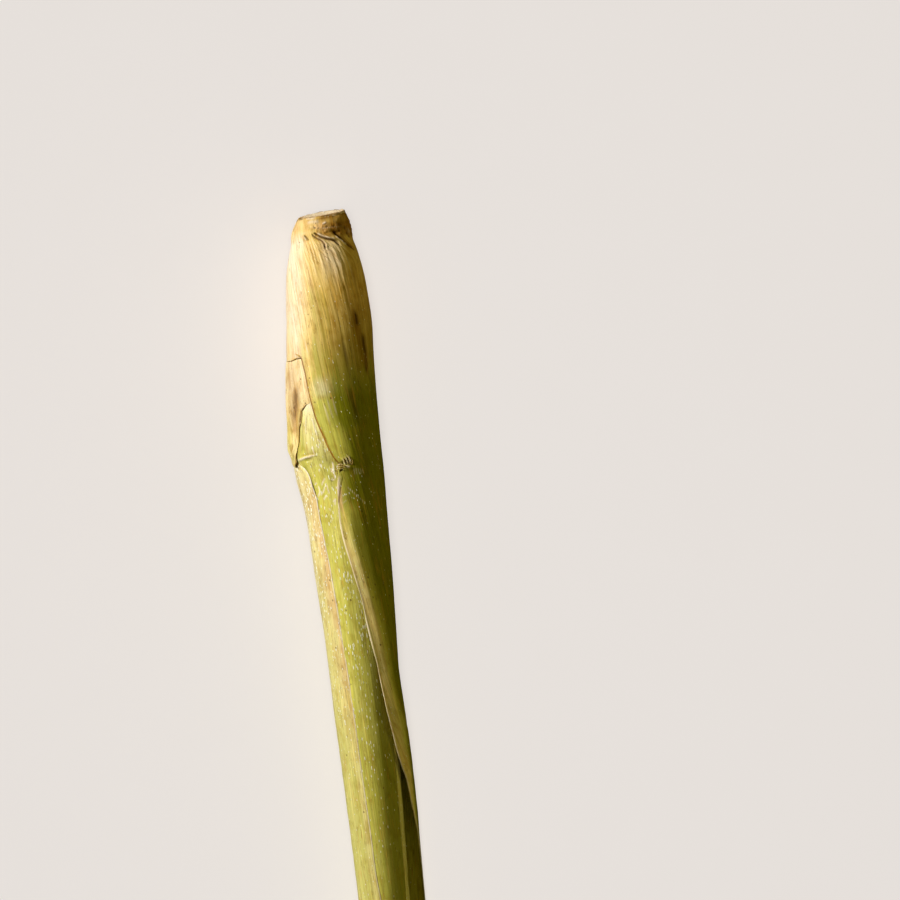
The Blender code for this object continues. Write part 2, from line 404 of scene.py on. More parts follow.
class Graph:
    """The node graph of one material."""

    def __init__(self, name: str) -> None:
        """Starts a material with a Principled shader on its output.

        Args:
            name: The material's name.
        """
        self.material = bpy.data.materials.new(name)
        self.material.use_nodes = True
        self.tree = self.material.node_tree
        self.shader = self.tree.nodes["Principled BSDF"]

    def node(
        self, kind: str, settings: Mapping[str, Any] | None = None, inputs: Mapping[Any, Any] | None = None
    ) -> bpy.types.Node:
        """Adds a node.

        Args:
            kind: The node's type.
            settings: Its properties, set before its sockets.
            inputs: Socket names or numbers, with the values or flows that go into them.

        Returns:
            The node.
        """
        made = self.tree.nodes.new(kind)
        for name, value in (settings or {}).items():
            setattr(made, name, value)
        for key, value in (inputs or {}).items():
            self.feed(made.inputs[key], value)
        return made

    def feed(self, socket: bpy.types.NodeSocket, value: Any) -> None:
        """Links a flow to a socket, or sets the socket's own value.

        Args:
            socket: The socket.
            value: The flow, or the number, colour or vector.
        """
        if isinstance(value, Flow):
            self.tree.links.new(value.socket, socket)
        elif isinstance(value, tuple) and socket.type == "RGBA":
            socket.default_value = (*value, 1.0)
        else:
            socket.default_value = value

    def math(self, operation: str, *operands: "Flow | float") -> Flow:
        """Adds a Math node for an operation on values."""
        made = self.node("ShaderNodeMath", {"operation": operation}, dict(enumerate(operands)))
        return Flow(self, made.outputs[0])

    def step(self, value: Flow, low: float, high: float) -> Flow:
        """A smooth step; low may be the greater.

        Args:
            value: What is stepped.
            low: Where the step is 0.
            high: Where it is 1.

        Returns:
            A value from 0 to 1.
        """
        settings = {"interpolation_type": "SMOOTHSTEP"}
        if low <= high:
            inputs = {"Value": value, "From Min": low, "From Max": high}
        else:
            inputs = {"Value": value, "From Min": high, "From Max": low, "To Min": 1.0, "To Max": 0.0}
        return Flow(self, self.node("ShaderNodeMapRange", settings, inputs).outputs["Result"])

    def mix(self, a: "Flow | Colour", b: "Flow | Colour", factor: "Flow | float", blend: str = "MIX") -> Flow:
        """Mixes two colours.

        Args:
            a: The colour at factor 0.
            b: The colour that is laid over it.
            factor: How much of it.
            blend: The Mix node's blend type.

        Returns:
            The mixed colour.
        """
        made = self.node("ShaderNodeMix", {"data_type": "RGBA", "blend_type": blend, "clamp_factor": True})
        sockets = {s.identifier: s for s in made.inputs}
        self.feed(sockets["Factor_Float"], factor)
        self.feed(sockets["A_Color"], a)
        self.feed(sockets["B_Color"], b)
        return Flow(self, next(s for s in made.outputs if s.identifier == "Result_Color"))

    def tone(self, tone: Tone) -> Flow:
        """The amount of a tone that is painted on the piece."""
        made = self.node("ShaderNodeAttribute", {"attribute_name": tone.value})
        return Flow(self, made.outputs["Fac"])

    def uneven(self, tone: Tone, noise: Flow) -> Flow:
        """The amount of a tone, made uneven by a noise about 0 where there is some of it."""
        amount = self.tone(tone)
        return amount + noise * self.step(amount, 0.0, 0.4)

    def fibres(self, across: float, along: float) -> Flow:
        """Fibre coordinates, scaled across and along the fibres.

        Args:
            across: Cells to the millimetre across the fibres.
            along: Cells to the millimetre along them.

        Returns:
            The scaled coordinates.
        """
        uv = self.node("ShaderNodeUVMap", {"uv_map": "fibres"})
        made = self.node(
            "ShaderNodeMapping",
            None,
            {"Vector": Flow(self, uv.outputs["UV"]), "Scale": (across, along, 1.0)},
        )
        return Flow(self, made.outputs["Vector"])

    def line(self, value: Flow, middle: float, outer: float, inner: float) -> Flow:
        """1 where a value is within inner of the middle, and 0 past outer."""
        return self.step(self.math("ABSOLUTE", value - middle), outer, inner)

    def object_place(self, scale: float) -> Flow:
        """Object coordinates, scaled alike on all axes.

        Args:
            scale: Cells to the metre.

        Returns:
            The scaled coordinates.
        """
        coordinates = self.node("ShaderNodeTexCoord")
        inputs = {"Vector": Flow(self, coordinates.outputs["Object"]), "Scale": (scale, scale, scale)}
        return Flow(self, self.node("ShaderNodeMapping", None, inputs).outputs["Vector"])

    def noise(self, where: Flow, detail: float) -> Flow:
        """Noise of scale 1 at some coordinates, about 0.5."""
        inputs = {"Vector": where, "Scale": 1.0, "Detail": detail}
        return Flow(self, self.node("ShaderNodeTexNoise", None, inputs).outputs["Fac"])

    def cells(self, where: Flow) -> tuple[Flow, Flow]:
        """Cells round scattered points.

        Args:
            where: The coordinates, with about one point in each unit of them.

        Returns:
            The distance to the nearest point, and a random number for each point.
        """
        made = self.node("ShaderNodeTexVoronoi", None, {"Vector": where, "Scale": 1.0})
        parts = self.node("ShaderNodeSeparateColor", None, {"Color": Flow(self, made.outputs["Color"])})
        return Flow(self, made.outputs["Distance"]), Flow(self, parts.outputs["Red"])

    def bump(self, height: Flow, depth: float) -> Flow:
        """A normal from a height, whose full range stands for a depth in millimetres."""
        inputs = {"Height": height, "Distance": depth * MM, "Strength": 1.0}
        return Flow(self, self.node("ShaderNodeBump", None, inputs).outputs["Normal"])

    def finish(self, inputs: Mapping[str, Any]) -> bpy.types.Material:
        """Sets the Principled shader's sockets.

        Args:
            inputs: Socket names, with the values or flows that go into them.

        Returns:
            The finished material.
        """
        for name, value in inputs.items():
            self.feed(self.shader.inputs[name], value)
        return self.material


# ---- Finishes ----


@dataclass(frozen=True)
class LeafFinish:
    """The skin of a leaf sheath: fibres, specks and flecks of wax over tones that are painted on.

    The fleck's numbers are how many cells of wax there are to the millimetre, across and along.
    """

    name: str
    straw: Colour = (0.85, 0.60, 0.17)
    tan: Colour = (0.66, 0.40, 0.06)
    green: Colour = (0.58, 0.54, 0.09)
    olive: Colour = (0.19, 0.185, 0.003)
    brown: Colour = (0.33, 0.145, 0.012)
    cream: Colour = (0.89, 0.77, 0.65)
    rose: Colour = (0.72, 0.46, 0.20)
    shade: Colour = (0.06, 0.024, 0.002)
    wax: Colour = (1.0, 0.98, 0.78)
    thread: Colour = (0.58, 0.30, 0.04)
    speck: Colour = (0.13, 0.06, 0.01)
    dark_fibres: Colour = (0.52, 0.43, 0.24)
    light_fibres: Colour = (1.24, 1.20, 1.16)
    dull: Colour = (0.80, 0.74, 0.58)
    vein: Colour = (0.40, 0.26, 0.10)
    tan_share: float = 0.65
    speck_share: float = 0.14
    vein_share: float = 0.5
    dull_share: float = 0.6
    fibre_depth: float = 0.19
    fleck: tuple[float, float] = (2.5, 0.9)
    roughness: float = 0.42

    def material(self) -> bpy.types.Material:
        """Builds the finish.

        Returns:
            A material that reads the fibre coordinates and the tones of the piece it is on.
        """
        graph = Graph(self.name)
        fine = graph.noise(graph.fibres(2.7, 0.08), detail=3.0)
        coarse = graph.noise(graph.fibres(1.2, 0.045), detail=3.0)
        threads = graph.noise(graph.fibres(2.1, 0.055), detail=1.0)
        patches = graph.noise(graph.fibres(0.30, 0.09), detail=3.0)
        grit = graph.noise(graph.fibres(3.2, 2.4), detail=3.0)
        mottle = graph.noise(graph.fibres(0.55, 0.30), detail=5.0)

        tan = graph.step(coarse * 0.3 + patches * 0.3 + mottle * 0.4, 0.42, 0.58) * self.tan_share
        colour = graph.mix(self.straw, self.tan, tan)
        green = graph.tone(Tone.GREEN) + (coarse - 0.5) * 0.7 + (patches - 0.5) * 0.6
        colour = graph.mix(colour, self.green, graph.step(green, 0.2, 0.8))
        brown = graph.uneven(Tone.BROWN, (coarse - 0.5) * 0.9).clamped()
        colour = graph.mix(colour, self.brown, brown)
        olive = graph.uneven(Tone.OLIVE, (fine - 0.5) * 0.6)
        colour = graph.mix(colour, self.olive, olive.clamped())
        colour = graph.mix(colour, self.rose, graph.tone(Tone.ROSE) * graph.step(patches, 0.25, 0.6))
        cream = graph.uneven(Tone.CREAM, (fine * 0.5 + patches * 0.5 - 0.5) * 1.2)
        colour = graph.mix(colour, self.cream, cream.clamped() * (1.0 - brown * 0.55))
        colour = graph.mix(colour, self.shade, graph.tone(Tone.SHADE))

        dark = graph.step(fine, 0.47, 0.30) * (0.10 + graph.step(patches, 0.35, 0.62) * 0.30)
        colour = graph.mix(colour, self.dark_fibres, dark, "MULTIPLY")
        light = graph.step(fine, 0.54, 0.66) * (1.0 - cream * 0.8)
        colour = graph.mix(colour, self.light_fibres, light, "MULTIPLY")
        colour = graph.mix(colour, self.dull, graph.step(mottle, 0.50, 0.66) * self.dull_share, "MULTIPLY")
        thread = graph.line(threads, 0.5, 0.022, 0.004) * graph.step(patches, 0.40, 0.55)
        colour = graph.mix(colour, self.thread, thread * self.vein_share)
        veins = graph.line(coarse, 0.47, 0.010, 0.002) * graph.step(grit, 0.38, 0.5)
        colour = graph.mix(colour, self.vein, veins * self.vein_share, "MULTIPLY")

        spot, pick = graph.cells(graph.fibres(0.70, 0.45))
        picked = graph.step(pick, 1 - self.speck_share, 1.01 - self.speck_share)
        specks = graph.step(spot, 0.16, 0.08) * picked
        colour = graph.mix(colour, self.speck, specks * 0.8)

        dash, chance = graph.cells(graph.fibres(*self.fleck))
        wax = graph.tone(Tone.WAX)
        size = 0.13 + wax * 0.16 + chance * 0.24 + (grit - 0.5) * 0.4
        waxed = graph.step(chance - wax * (patches * 2.4 - 0.5), 0.0, -0.05)
        flecks = graph.step(dash - size, 0.05, -0.05) * waxed
        colour = graph.mix(colour, self.wax, flecks)

        height = fine * 0.5 + coarse * 0.45 + grit * 0.12 + flecks * 0.25 - specks * 0.3 - veins * 0.2
        return graph.finish(
            {
                "Base Color": colour,
                "Roughness": (self.roughness + (grit - 0.5) * 0.3 + flecks * 0.2).clamped(),
                "Normal": graph.bump(height, self.fibre_depth),
                "Subsurface Weight": 0.05,
                "Subsurface Radius": (1.0, 0.7, 0.2),
                "Subsurface Scale": 0.4 * MM,
                "Specular IOR Level": 0.2,
            }
        )


@dataclass(frozen=True)
class CutFinish:
    """A cut end: rings of leaf or stem tissue, pale and dry, with a darker rim."""

    name: str
    flesh: Colour = (0.72, 0.56, 0.30)
    ring: Colour = (0.40, 0.22, 0.07)
    rim: Colour = (0.10, 0.05, 0.015)
    pore_share: float = 0.35
    pore_depth: float = 0.25

    def material(self) -> bpy.types.Material:
        """Builds the finish.

        Returns:
            A material that reads the painted tones and Object coordinates of the piece it is on.
        """
        graph = Graph(self.name)
        pores = graph.noise(graph.object_place(3000.0), detail=4.0)
        colour = graph.mix(self.flesh, self.ring, graph.step(pores, 0.45, 0.75) * self.pore_share)
        colour = graph.mix(colour, self.ring, graph.tone(Tone.BROWN))
        colour = graph.mix(colour, self.rim, graph.tone(Tone.SHADE))
        return graph.finish(
            {
                "Base Color": colour,
                "Roughness": 0.55 + pores * 0.3,
                "Normal": graph.bump(pores, self.pore_depth),
                "Specular IOR Level": 0.3,
            }
        )


# ---- Leaves ----


# The layers of a leaf's ribs: each one's share of their height, and its cells' width and length.
RIBS = ((1.0, 1.1, 26.0), (0.8, 2.9, 45.0), (0.5, 0.55, 14.0))

# How far the washes' ends wander along a leaf, and the width and length of the cells that they follow.
WANDER = (3.5, 1.6, 30.0)

# The width and length of a crinkle's cells.
CRINKLE = (0.9, 1.6)

# How much of a hem's width is solid, and how far out it ends.
HEM_SOLID, HEM_END = 0.6, 1.3

# A wall's thickness is painted in this many levels, and is full this far from the leaf's margin.
WALL_LEVELS = 10
WALL_REACH = 1.5


@dataclass
class Sheet:
    """A leaf sheath: a grid wrapped round the stalk between two margins, then given its wall.

    Its columns are shares of the way from its margin, 0, to its far margin, 1.
    """

    name: str
    node: str
    finish: LeafFinish
    rows: Array
    columns: Array
    margin: Curve
    far_margin: Curve
    radius: Curve
    wall: float = 0.42
    twist: float = 0.0
    shift_x: Curve = constant(0.0)
    shift_z: Curve = constant(0.0)
    folds: tuple[Fold, ...] = ()
    marks: tuple[Mark, ...] = ()
    washes: tuple[Wash, ...] = ()
    hems: tuple[Hem, ...] = ()
    rib_height: float = 0.05
    crinkle: float = 0.0
    margin_share: float = 0.6
    seed: int = 1

    def angles(self, distance: Array, share: Array) -> Array:
        """The angle of each place, from its distance and its share of the way round."""
        return self.margin.at(distance) * (1 - share) + self.far_margin.at(distance) * share

    def swelling(self, distance: Array, angle: Array) -> Array:
        """What a leaf adds to its radius where it bulges: nothing, unless a subclass says."""
        return np.zeros_like(distance)

    def swirl(self, distance: Array, angle: Array) -> Array:
        """How far the fibres are swept round the stalk, beyond the twist of the leaf."""
        return np.zeros_like(distance)

    def reached(self, distance: Array, angle: Array) -> Array:
        """The distances that the leaf's places really lie at, where its end isn't square."""
        return distance

    def arcs(self, distance: Array, angle: Array) -> Array:
        """Millimetres round the section from its top."""
        return np.radians(angle) * self.radius.at(distance)

    def flattened(self, path: Path) -> Array:
        """Lays a path out on the flattened leaf.

        Args:
            path: Its (distance, offset) points, as seen from above.

        Returns:
            Its (distance, arc) points. The swelling depends on the angle, so they are found in rounds.
        """
        rounds, furthest = 10, 0.999
        distance, offset = np.array(path, float).T
        radius = self.radius.at(distance)
        centre = STALK.centre_x.at(distance) + self.shift_x.at(distance)
        angle = np.zeros_like(distance)
        for _ in range(rounds):
            reach = (offset - centre) / (radius + self.swelling(distance, angle))
            angle = (angle + np.degrees(np.arcsin(np.clip(reach, -furthest, furthest)))) / 2
        return np.stack([distance, self.arcs(distance, angle)], axis=1)

    def across(self, distance: Array, angle: Array) -> Array:
        """Millimetres across the fibres, which run with the leaf's twist and swirl."""
        return self.arcs(distance, angle) - self.twist * distance - self.swirl(distance, angle)

    def relief(self, distance: Array, angle: Array, edge: Array) -> Array:
        """The height of the leaf's ribs and folds above its smooth shape.

        Args:
            distance: Distance of each vertex along the stalk.
            angle: Its angle round the section.
            edge: Its distance from the leaf's margin, in millimetres.

        Returns:
            Heights in millimetres.
        """
        arc = self.arcs(distance, angle)
        across = self.across(distance, angle)
        height = self.crinkle * Grain(self.seed + len(RIBS), *CRINKLE).at(arc, distance)
        for layer, (share, width, length) in enumerate(RIBS):
            height += self.rib_height * share * Grain(self.seed + layer, width, length).at(across, distance)
        points = np.stack([distance, arc], axis=1)
        for fold in self.folds:
            gap, side, share = path_offsets(points, self.flattened(fold.path))
            width = np.where(side > 0, fold.right, fold.left)
            height += fold.height * hump(gap, width) * tapered(share, fold.taper)
        return height

    def tones(self, distance: Array, angle: Array, edge: Array) -> dict[Tone, Array]:
        """Paints the leaf.

        Args:
            distance: Distance of each vertex along the stalk.
            angle: Its angle round the section.
            edge: Its distance from the leaf's margin, in millimetres.

        Returns:
            The amount of each tone at each vertex.
        """
        arc = self.arcs(distance, angle)
        points = np.stack([distance, arc], axis=1)
        painted = {tone: np.zeros_like(distance) for tone in Tone}
        wander, width, length = WANDER
        ragged = Grain(self.seed + 5, width, length).at(arc, distance) * ease(distance, 10, 25)
        ragged = distance + wander * ragged
        for wash in self.washes:
            amount = wash.along.at(ragged) * wash.across.at(angle - wash.line.at(distance))
            painted[wash.tone] = np.maximum(painted[wash.tone], amount)
        # The folds' strokes: stains, partly painted shade in dark grooves and painted highlight on cream
        # ridges.
        stains = tuple(fold.stain_and_painted_light() for fold in self.folds if fold.tone)
        for mark in self.marks + stains:
            gap, _, share = path_offsets(points, self.flattened(mark.path))
            amount = mark.strength * hump(gap, mark.width) * tapered(share, mark.taper)
            painted[mark.tone] = np.maximum(painted[mark.tone], amount)
        for hem in self.hems:
            amount = hem.along.at(distance) * (1 - ease(edge, hem.width * HEM_SOLID, hem.width * HEM_END))
            painted[hem.tone] = np.maximum(painted[hem.tone], amount)
        return painted

    def keep(self, distance: float, share: float) -> bool:
        """Whether the leaf has a face there: it does, unless a subclass tears it off."""
        return True

    def build(self) -> bpy.types.Object:
        """Models the leaf and dresses it.

        Returns:
            The finished object, with its wall as a Solidify modifier.
        """
        bm = bmesh.new()
        steps_round, steps_along = len(self.columns) - 1, len(self.rows) - 1
        bmesh.ops.create_grid(bm, x_segments=steps_round, y_segments=steps_along, size=0.5)
        self.tear(bm, steps_round, steps_along)
        bm.verts.index_update()
        place = np.array([v.co for v in bm.verts])
        share = self.columns[np.rint((place[:, 0] + 0.5) * steps_round).astype(int)]
        distance = self.rows[np.rint((place[:, 1] + 0.5) * steps_along).astype(int)]
        angle = self.angles(distance, share)
        radius = self.radius.at(distance)
        edge = np.abs(np.radians(angle - self.margin.at(distance))) * radius
        edge = np.where(share < 0, math.inf, edge)
        total = radius + self.swelling(distance, angle) + self.relief(distance, angle, edge)
        x, z = STALK.section(distance, angle, total)
        x, z = x + self.shift_x.at(distance), z + self.shift_z.at(distance)
        for vertex, co in zip(bm.verts, STALK.place(x, self.reached(distance, angle), z)):
            vertex.co = co
        across = self.across(distance, angle)
        layer = bm.loops.layers.uv.new("fibres")
        for face in bm.faces:
            for loop in face.loops:
                i = loop.vert.index
                loop[layer].uv = (across[i], distance[i])
        paint(bm, self.tones(distance, angle, edge))
        self.close(bm)
        piece = add_piece(self.name, bm, self.finish.material())
        self.thicken(piece, edge)
        place_piece(piece, self.node)
        return piece

    def tear(self, bm: bmesh.types.BMesh, steps_round: int, steps_along: int) -> None:
        """Takes away the grid faces that the leaf doesn't have.

        Args:
            bm: The grid, still flat and 1 across and along.
            steps_round: How many faces it has across.
            steps_along: How many faces it has along.
        """
        torn = []
        for face in bm.faces:
            middle = face.calc_center_median()
            column = int((middle.x + 0.5) * steps_round)
            row = int((middle.y + 0.5) * steps_along)
            share = (self.columns[column] + self.columns[column + 1]) / 2
            distance = (self.rows[row] + self.rows[row + 1]) / 2
            if not self.keep(distance, share):
                torn.append(face)
        bmesh.ops.delete(bm, geom=torn, context="FACES")

    def close(self, bm: bmesh.types.BMesh) -> None:
        """Turns the faces outwards: those above the height of the core face up, and those below it down.

        Args:
            bm: The leaf's mesh, in its place.
        """
        bm.normal_update()
        core = STALK.core_height * MM
        outward = sum(f.normal.z * (f.calc_center_median().z - core) * f.calc_area() for f in bm.faces)
        if outward < 0:
            bmesh.ops.reverse_faces(bm, faces=bm.faces)

    def thicken(self, piece: bpy.types.Object, edge: Array) -> None:
        """Gives the leaf its wall, inwards from its outer skin and thinner towards its margin.

        Args:
            piece: The leaf's object.
            edge: Each vertex's distance from the margin, in millimetres.
        """
        group = piece.vertex_groups.new(name="wall")
        share = self.margin_share + (1 - self.margin_share) * ease(edge, 0.0, WALL_REACH)
        levels = np.rint(WALL_LEVELS * share)
        for level in range(1, WALL_LEVELS + 1):
            group.add(np.flatnonzero(levels == level).tolist(), level / WALL_LEVELS, "REPLACE")
        add_wall(piece, self.wall, -1.0).vertex_group = group.name


def add_wall(piece: bpy.types.Object, thickness: float, offset: float) -> bpy.types.SolidifyModifier:
    """Gives a sheet its thickness.

    Args:
        piece: The sheet's object.
        thickness: Its thickness in millimetres.
        offset: -1 puts it all inwards, and 0 half on each side.

    Returns:
        The modifier.
    """
    wall = piece.modifiers.new("wall", "SOLIDIFY")
    wall.thickness = thickness * MM
    wall.offset = offset
    return wall


def paint(bm: bmesh.types.BMesh, tones: Mapping[Tone, Array]) -> None:
    """Keeps the amount of each tone at each vertex as a layer of the mesh.

    Args:
        bm: The mesh.
        tones: The amounts of each tone, in the vertices' order.
    """
    for tone, amounts in tones.items():
        layer = bm.verts.layers.float.new(tone.value)
        for vertex, amount in zip(bm.verts, np.clip(amounts, 0, 1).tolist()):
            vertex[layer] = amount


def link(name: str, data: bpy.types.ID) -> bpy.types.Object:
    """Puts a new object into the scene.

    Args:
        name: The object's name.
        data: Its mesh, light or camera.

    Returns:
        The object.
    """
    made = bpy.data.objects.new(name, data)
    bpy.context.scene.collection.objects.link(made)
    return made


def add_piece(name: str, bm: bmesh.types.BMesh, material: bpy.types.Material) -> bpy.types.Object:
    """Makes an object of a mesh.

    Args:
        name: The object's name.
        bm: Its mesh, in the object's frame and in metres, which is freed.
        material: Its finish.

    Returns:
        The object, linked to the scene.
    """
    mesh = bpy.data.meshes.new(name)
    bm.to_mesh(mesh)
    bm.free()
    mesh.shade_smooth()
    mesh.materials.append(material)
    return link(name, mesh)


def place_piece(piece: bpy.types.Object, node: str) -> None:
    """Rides a piece on the stalk, in place of the solid that it stands for.

    Args:
        piece: The finished object.
        node: The solid's name, which its slot has too.
    """
    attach(piece, BODY)
    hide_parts(node)
    LOG.info("%s stands for %s, with %d vertices", piece.name, node, len(piece.data.vertices))


# The side that the leaves stand out on, and how far round it they do.
BULGE_ANGLE = -95.0
BULGE_SPREAD = 34.0


def bulge(heights: Curve, distance: Array, angle: Array) -> Array:
    """The extra radius where a leaf stands out from the stalk on the left."""
    return heights.at(distance) * hump(angle - BULGE_ANGLE, BULGE_SPREAD)


@dataclass
class OuterLeaf(Sheet):
    """The outermost leaf: its sheath round the swollen base, torn on the left, and then its blade."""

    tear_distance: float = 35.0
    torn_edge: float = -146.0
    tear_drop: float = 0.55
    tear_raggedness: float = 0.25
    root_sweep: float = 7.0
    rolled_height: float = 0.12
    rolled_width: float = 0.3
    pucker_height: float = 0.14

    def angles(self, distance: Array, share: Array) -> Array:
        """As on any sheet, and from the margin to the torn edge where the share is below 0.

        Args:
            distance: Distance of each place along the stalk.
            share: Its share of the way round, down to -1 at the torn edge.

        Returns:
            The angle of each place.
        """
        margin = self.margin.at(distance)
        torn = margin + (margin - self.torn_edge) * share
        return np.where(share < 0, torn, super().angles(distance, share))

    def keep(self, distance: float, share: float) -> bool:
        """The part below share 0 ends at the tear."""
        return share > 0 or distance < self.tear_distance

    def reached(self, distance: Array, angle: Array) -> Array:
        """The torn edge runs further down towards the left, and unevenly.

        Args:
            distance: Distance of each place along the stalk.
            angle: Its angle round the section.

        Returns:
            The distances that they really lie at.
        """
        torn = ease(distance, 31, 35) * (distance <= self.tear_distance)
        ragged = self.tear_raggedness * Grain(33, 0.8, 9.0).at(self.arcs(distance, angle), distance)
        return distance + torn * (self.tear_drop + ragged) * ease(-angle, 46, 66)

    def swirl(self, distance: Array, angle: Array) -> Array:
        """At the root end the fibres sweep round to the right before they run lengthwise."""
        return -self.root_sweep * (1 - ease(distance, 3.5, 13.0)) * ease(angle, -45, 5)

    def relief(self, distance: Array, angle: Array, edge: Array) -> Array:
        """Ribs and folds, with a rolled margin and puckers round the root end.

        Args:
            distance: Distance of each vertex along the stalk.
            angle: Its angle round the section.
            edge: Its distance from the leaf's margin, in millimetres.

        Returns:
            Heights in millimetres.
        """
        rolled = hump(edge - self.rolled_width, self.rolled_width)
        rolled *= ease(distance, 35, 38) * (1 - ease(distance, 59, 62))
        arc = self.arcs(distance, angle)
        pucker = Grain(31, 0.9, 0.8).at(arc, distance) + 0.7 * Grain(32, 0.45, 0.4).at(arc, distance)
        pucker *= ease(distance, 1.2, 2.4) * (1 - ease(distance, 4.5, 6.5)) * ease(angle, -25, 5)
        height = super().relief(distance, angle, edge)
        return height + self.rolled_height * rolled + self.pucker_height * pucker


@dataclass
class DrySheath(Sheet):
    """The dry sheath below the tear, which narrows to a pinched end on the left."""

    heights: Curve = Curve(((30, 0), (33, 0.5), (36.5, 1.25), (45, 1.75), (51, 1.95), (58, 2.5), (61.5, 2.1)))
    shoulder: Curve = Curve(((32, 0), (34, 0.35), (36, 0.5), (44, 0.4), (47, 0)))
    torn_back: float = 1.9

    def swelling(self, distance: Array, angle: Array) -> Array:
        """It stands out on the left, and fills the torn leaf over it."""
        return bulge(self.heights, distance, angle) + self.shoulder.at(distance) * ease(angle, -75, -50)

    def reached(self, distance: Array, angle: Array) -> Array:
        """Its pinched end comes to a point, and is torn back on the left."""
        return distance - self.torn_back * ease(-angle, 78, 98) * ease(distance, 55, 61.6)


@dataclass
class OpenSheath(Sheet):
    """The sheath whose dry margin shows as a strip down the left of the stalk."""

    heights: Curve = Curve(
        ((50, 0), (58, 1.6), (61.5, 2.3), (65, 2.0), (70.5, 1.1), (77, 0.5), (90, 0.25), (106, 0))
    )

    def swelling(self, distance: Array, angle: Array) -> Array:
        """It stands out on the left where it comes out from under the dry sheath."""
        return bulge(self.heights, distance, angle)


@dataclass
class InnerRoll(Sheet):
    """The tight roll of inner leaves: a closed sheet whose seam lies under the stalk."""

    bulb_rise: Curve = Curve(((44, 1.3), (57, 1.6), (59.5, 1.45), (62, 0.9), (66, 0.4), (70, 0.2), (75, 0)))
    left_rise: Curve = Curve(
        ((44, 0), (51, 0.6), (57, 1.75), (59.5, 2.1), (61, 1.65), (62, 1.35), (65, 0.9), (70, 0.4), (77, 0))
    )
    lip_rise: Curve = Curve(((60, 0), (66, 0.10), (72, 0.24), (110, 0.28), (170, 0.29), (279, 0.25)))
    right_rise: Curve = Curve(((50, 0.6), (62, 1.0), (77, 0.85), (100, 0.75), (120, 0.4), (135, 0)))

    def swelling(self, distance: Array, angle: Array) -> Array:
        """It fills the leaves round it: on the left, on top and on the right.

        Args:
            distance: Distance of each place along the stalk.
            angle: Its angle round the section.

        Returns:
            What is added to the radius of each.
        """
        top = 0.86 * ease(angle, -88, -60) + 0.14 * ease(angle, -45, -25)
        right = ease(angle, -40, -5)
        under = 1 - ease(angle, 110, 160)
        rise = np.maximum(top * self.bulb_rise.at(distance), right * self.right_rise.at(distance))
        lip = ease(angle - STRIP_LIP.at(distance), -4, 0) * self.lip_rise.at(distance)
        rise = np.maximum(rise, lip)
        return rise * under + bulge(self.left_rise, distance, angle)

    def relief(self, distance: Array, angle: Array, edge: Array) -> Array:
        """Ribs and folds that die away at the seam."""
        return super().relief(distance, angle, edge) * ease(180 - np.abs(angle), 0, 12)

    def close(self, bm: bmesh.types.BMesh) -> None:
        """Joins the seam under the stalk, and turns the faces outwards."""
        bmesh.ops.remove_doubles(bm, verts=bm.verts, dist=0.01 * MM)
        super().close(bm)

    def thicken(self, piece: bpy.types.Object, edge: Array) -> None:
        """The roll is solid, so it has no wall."""


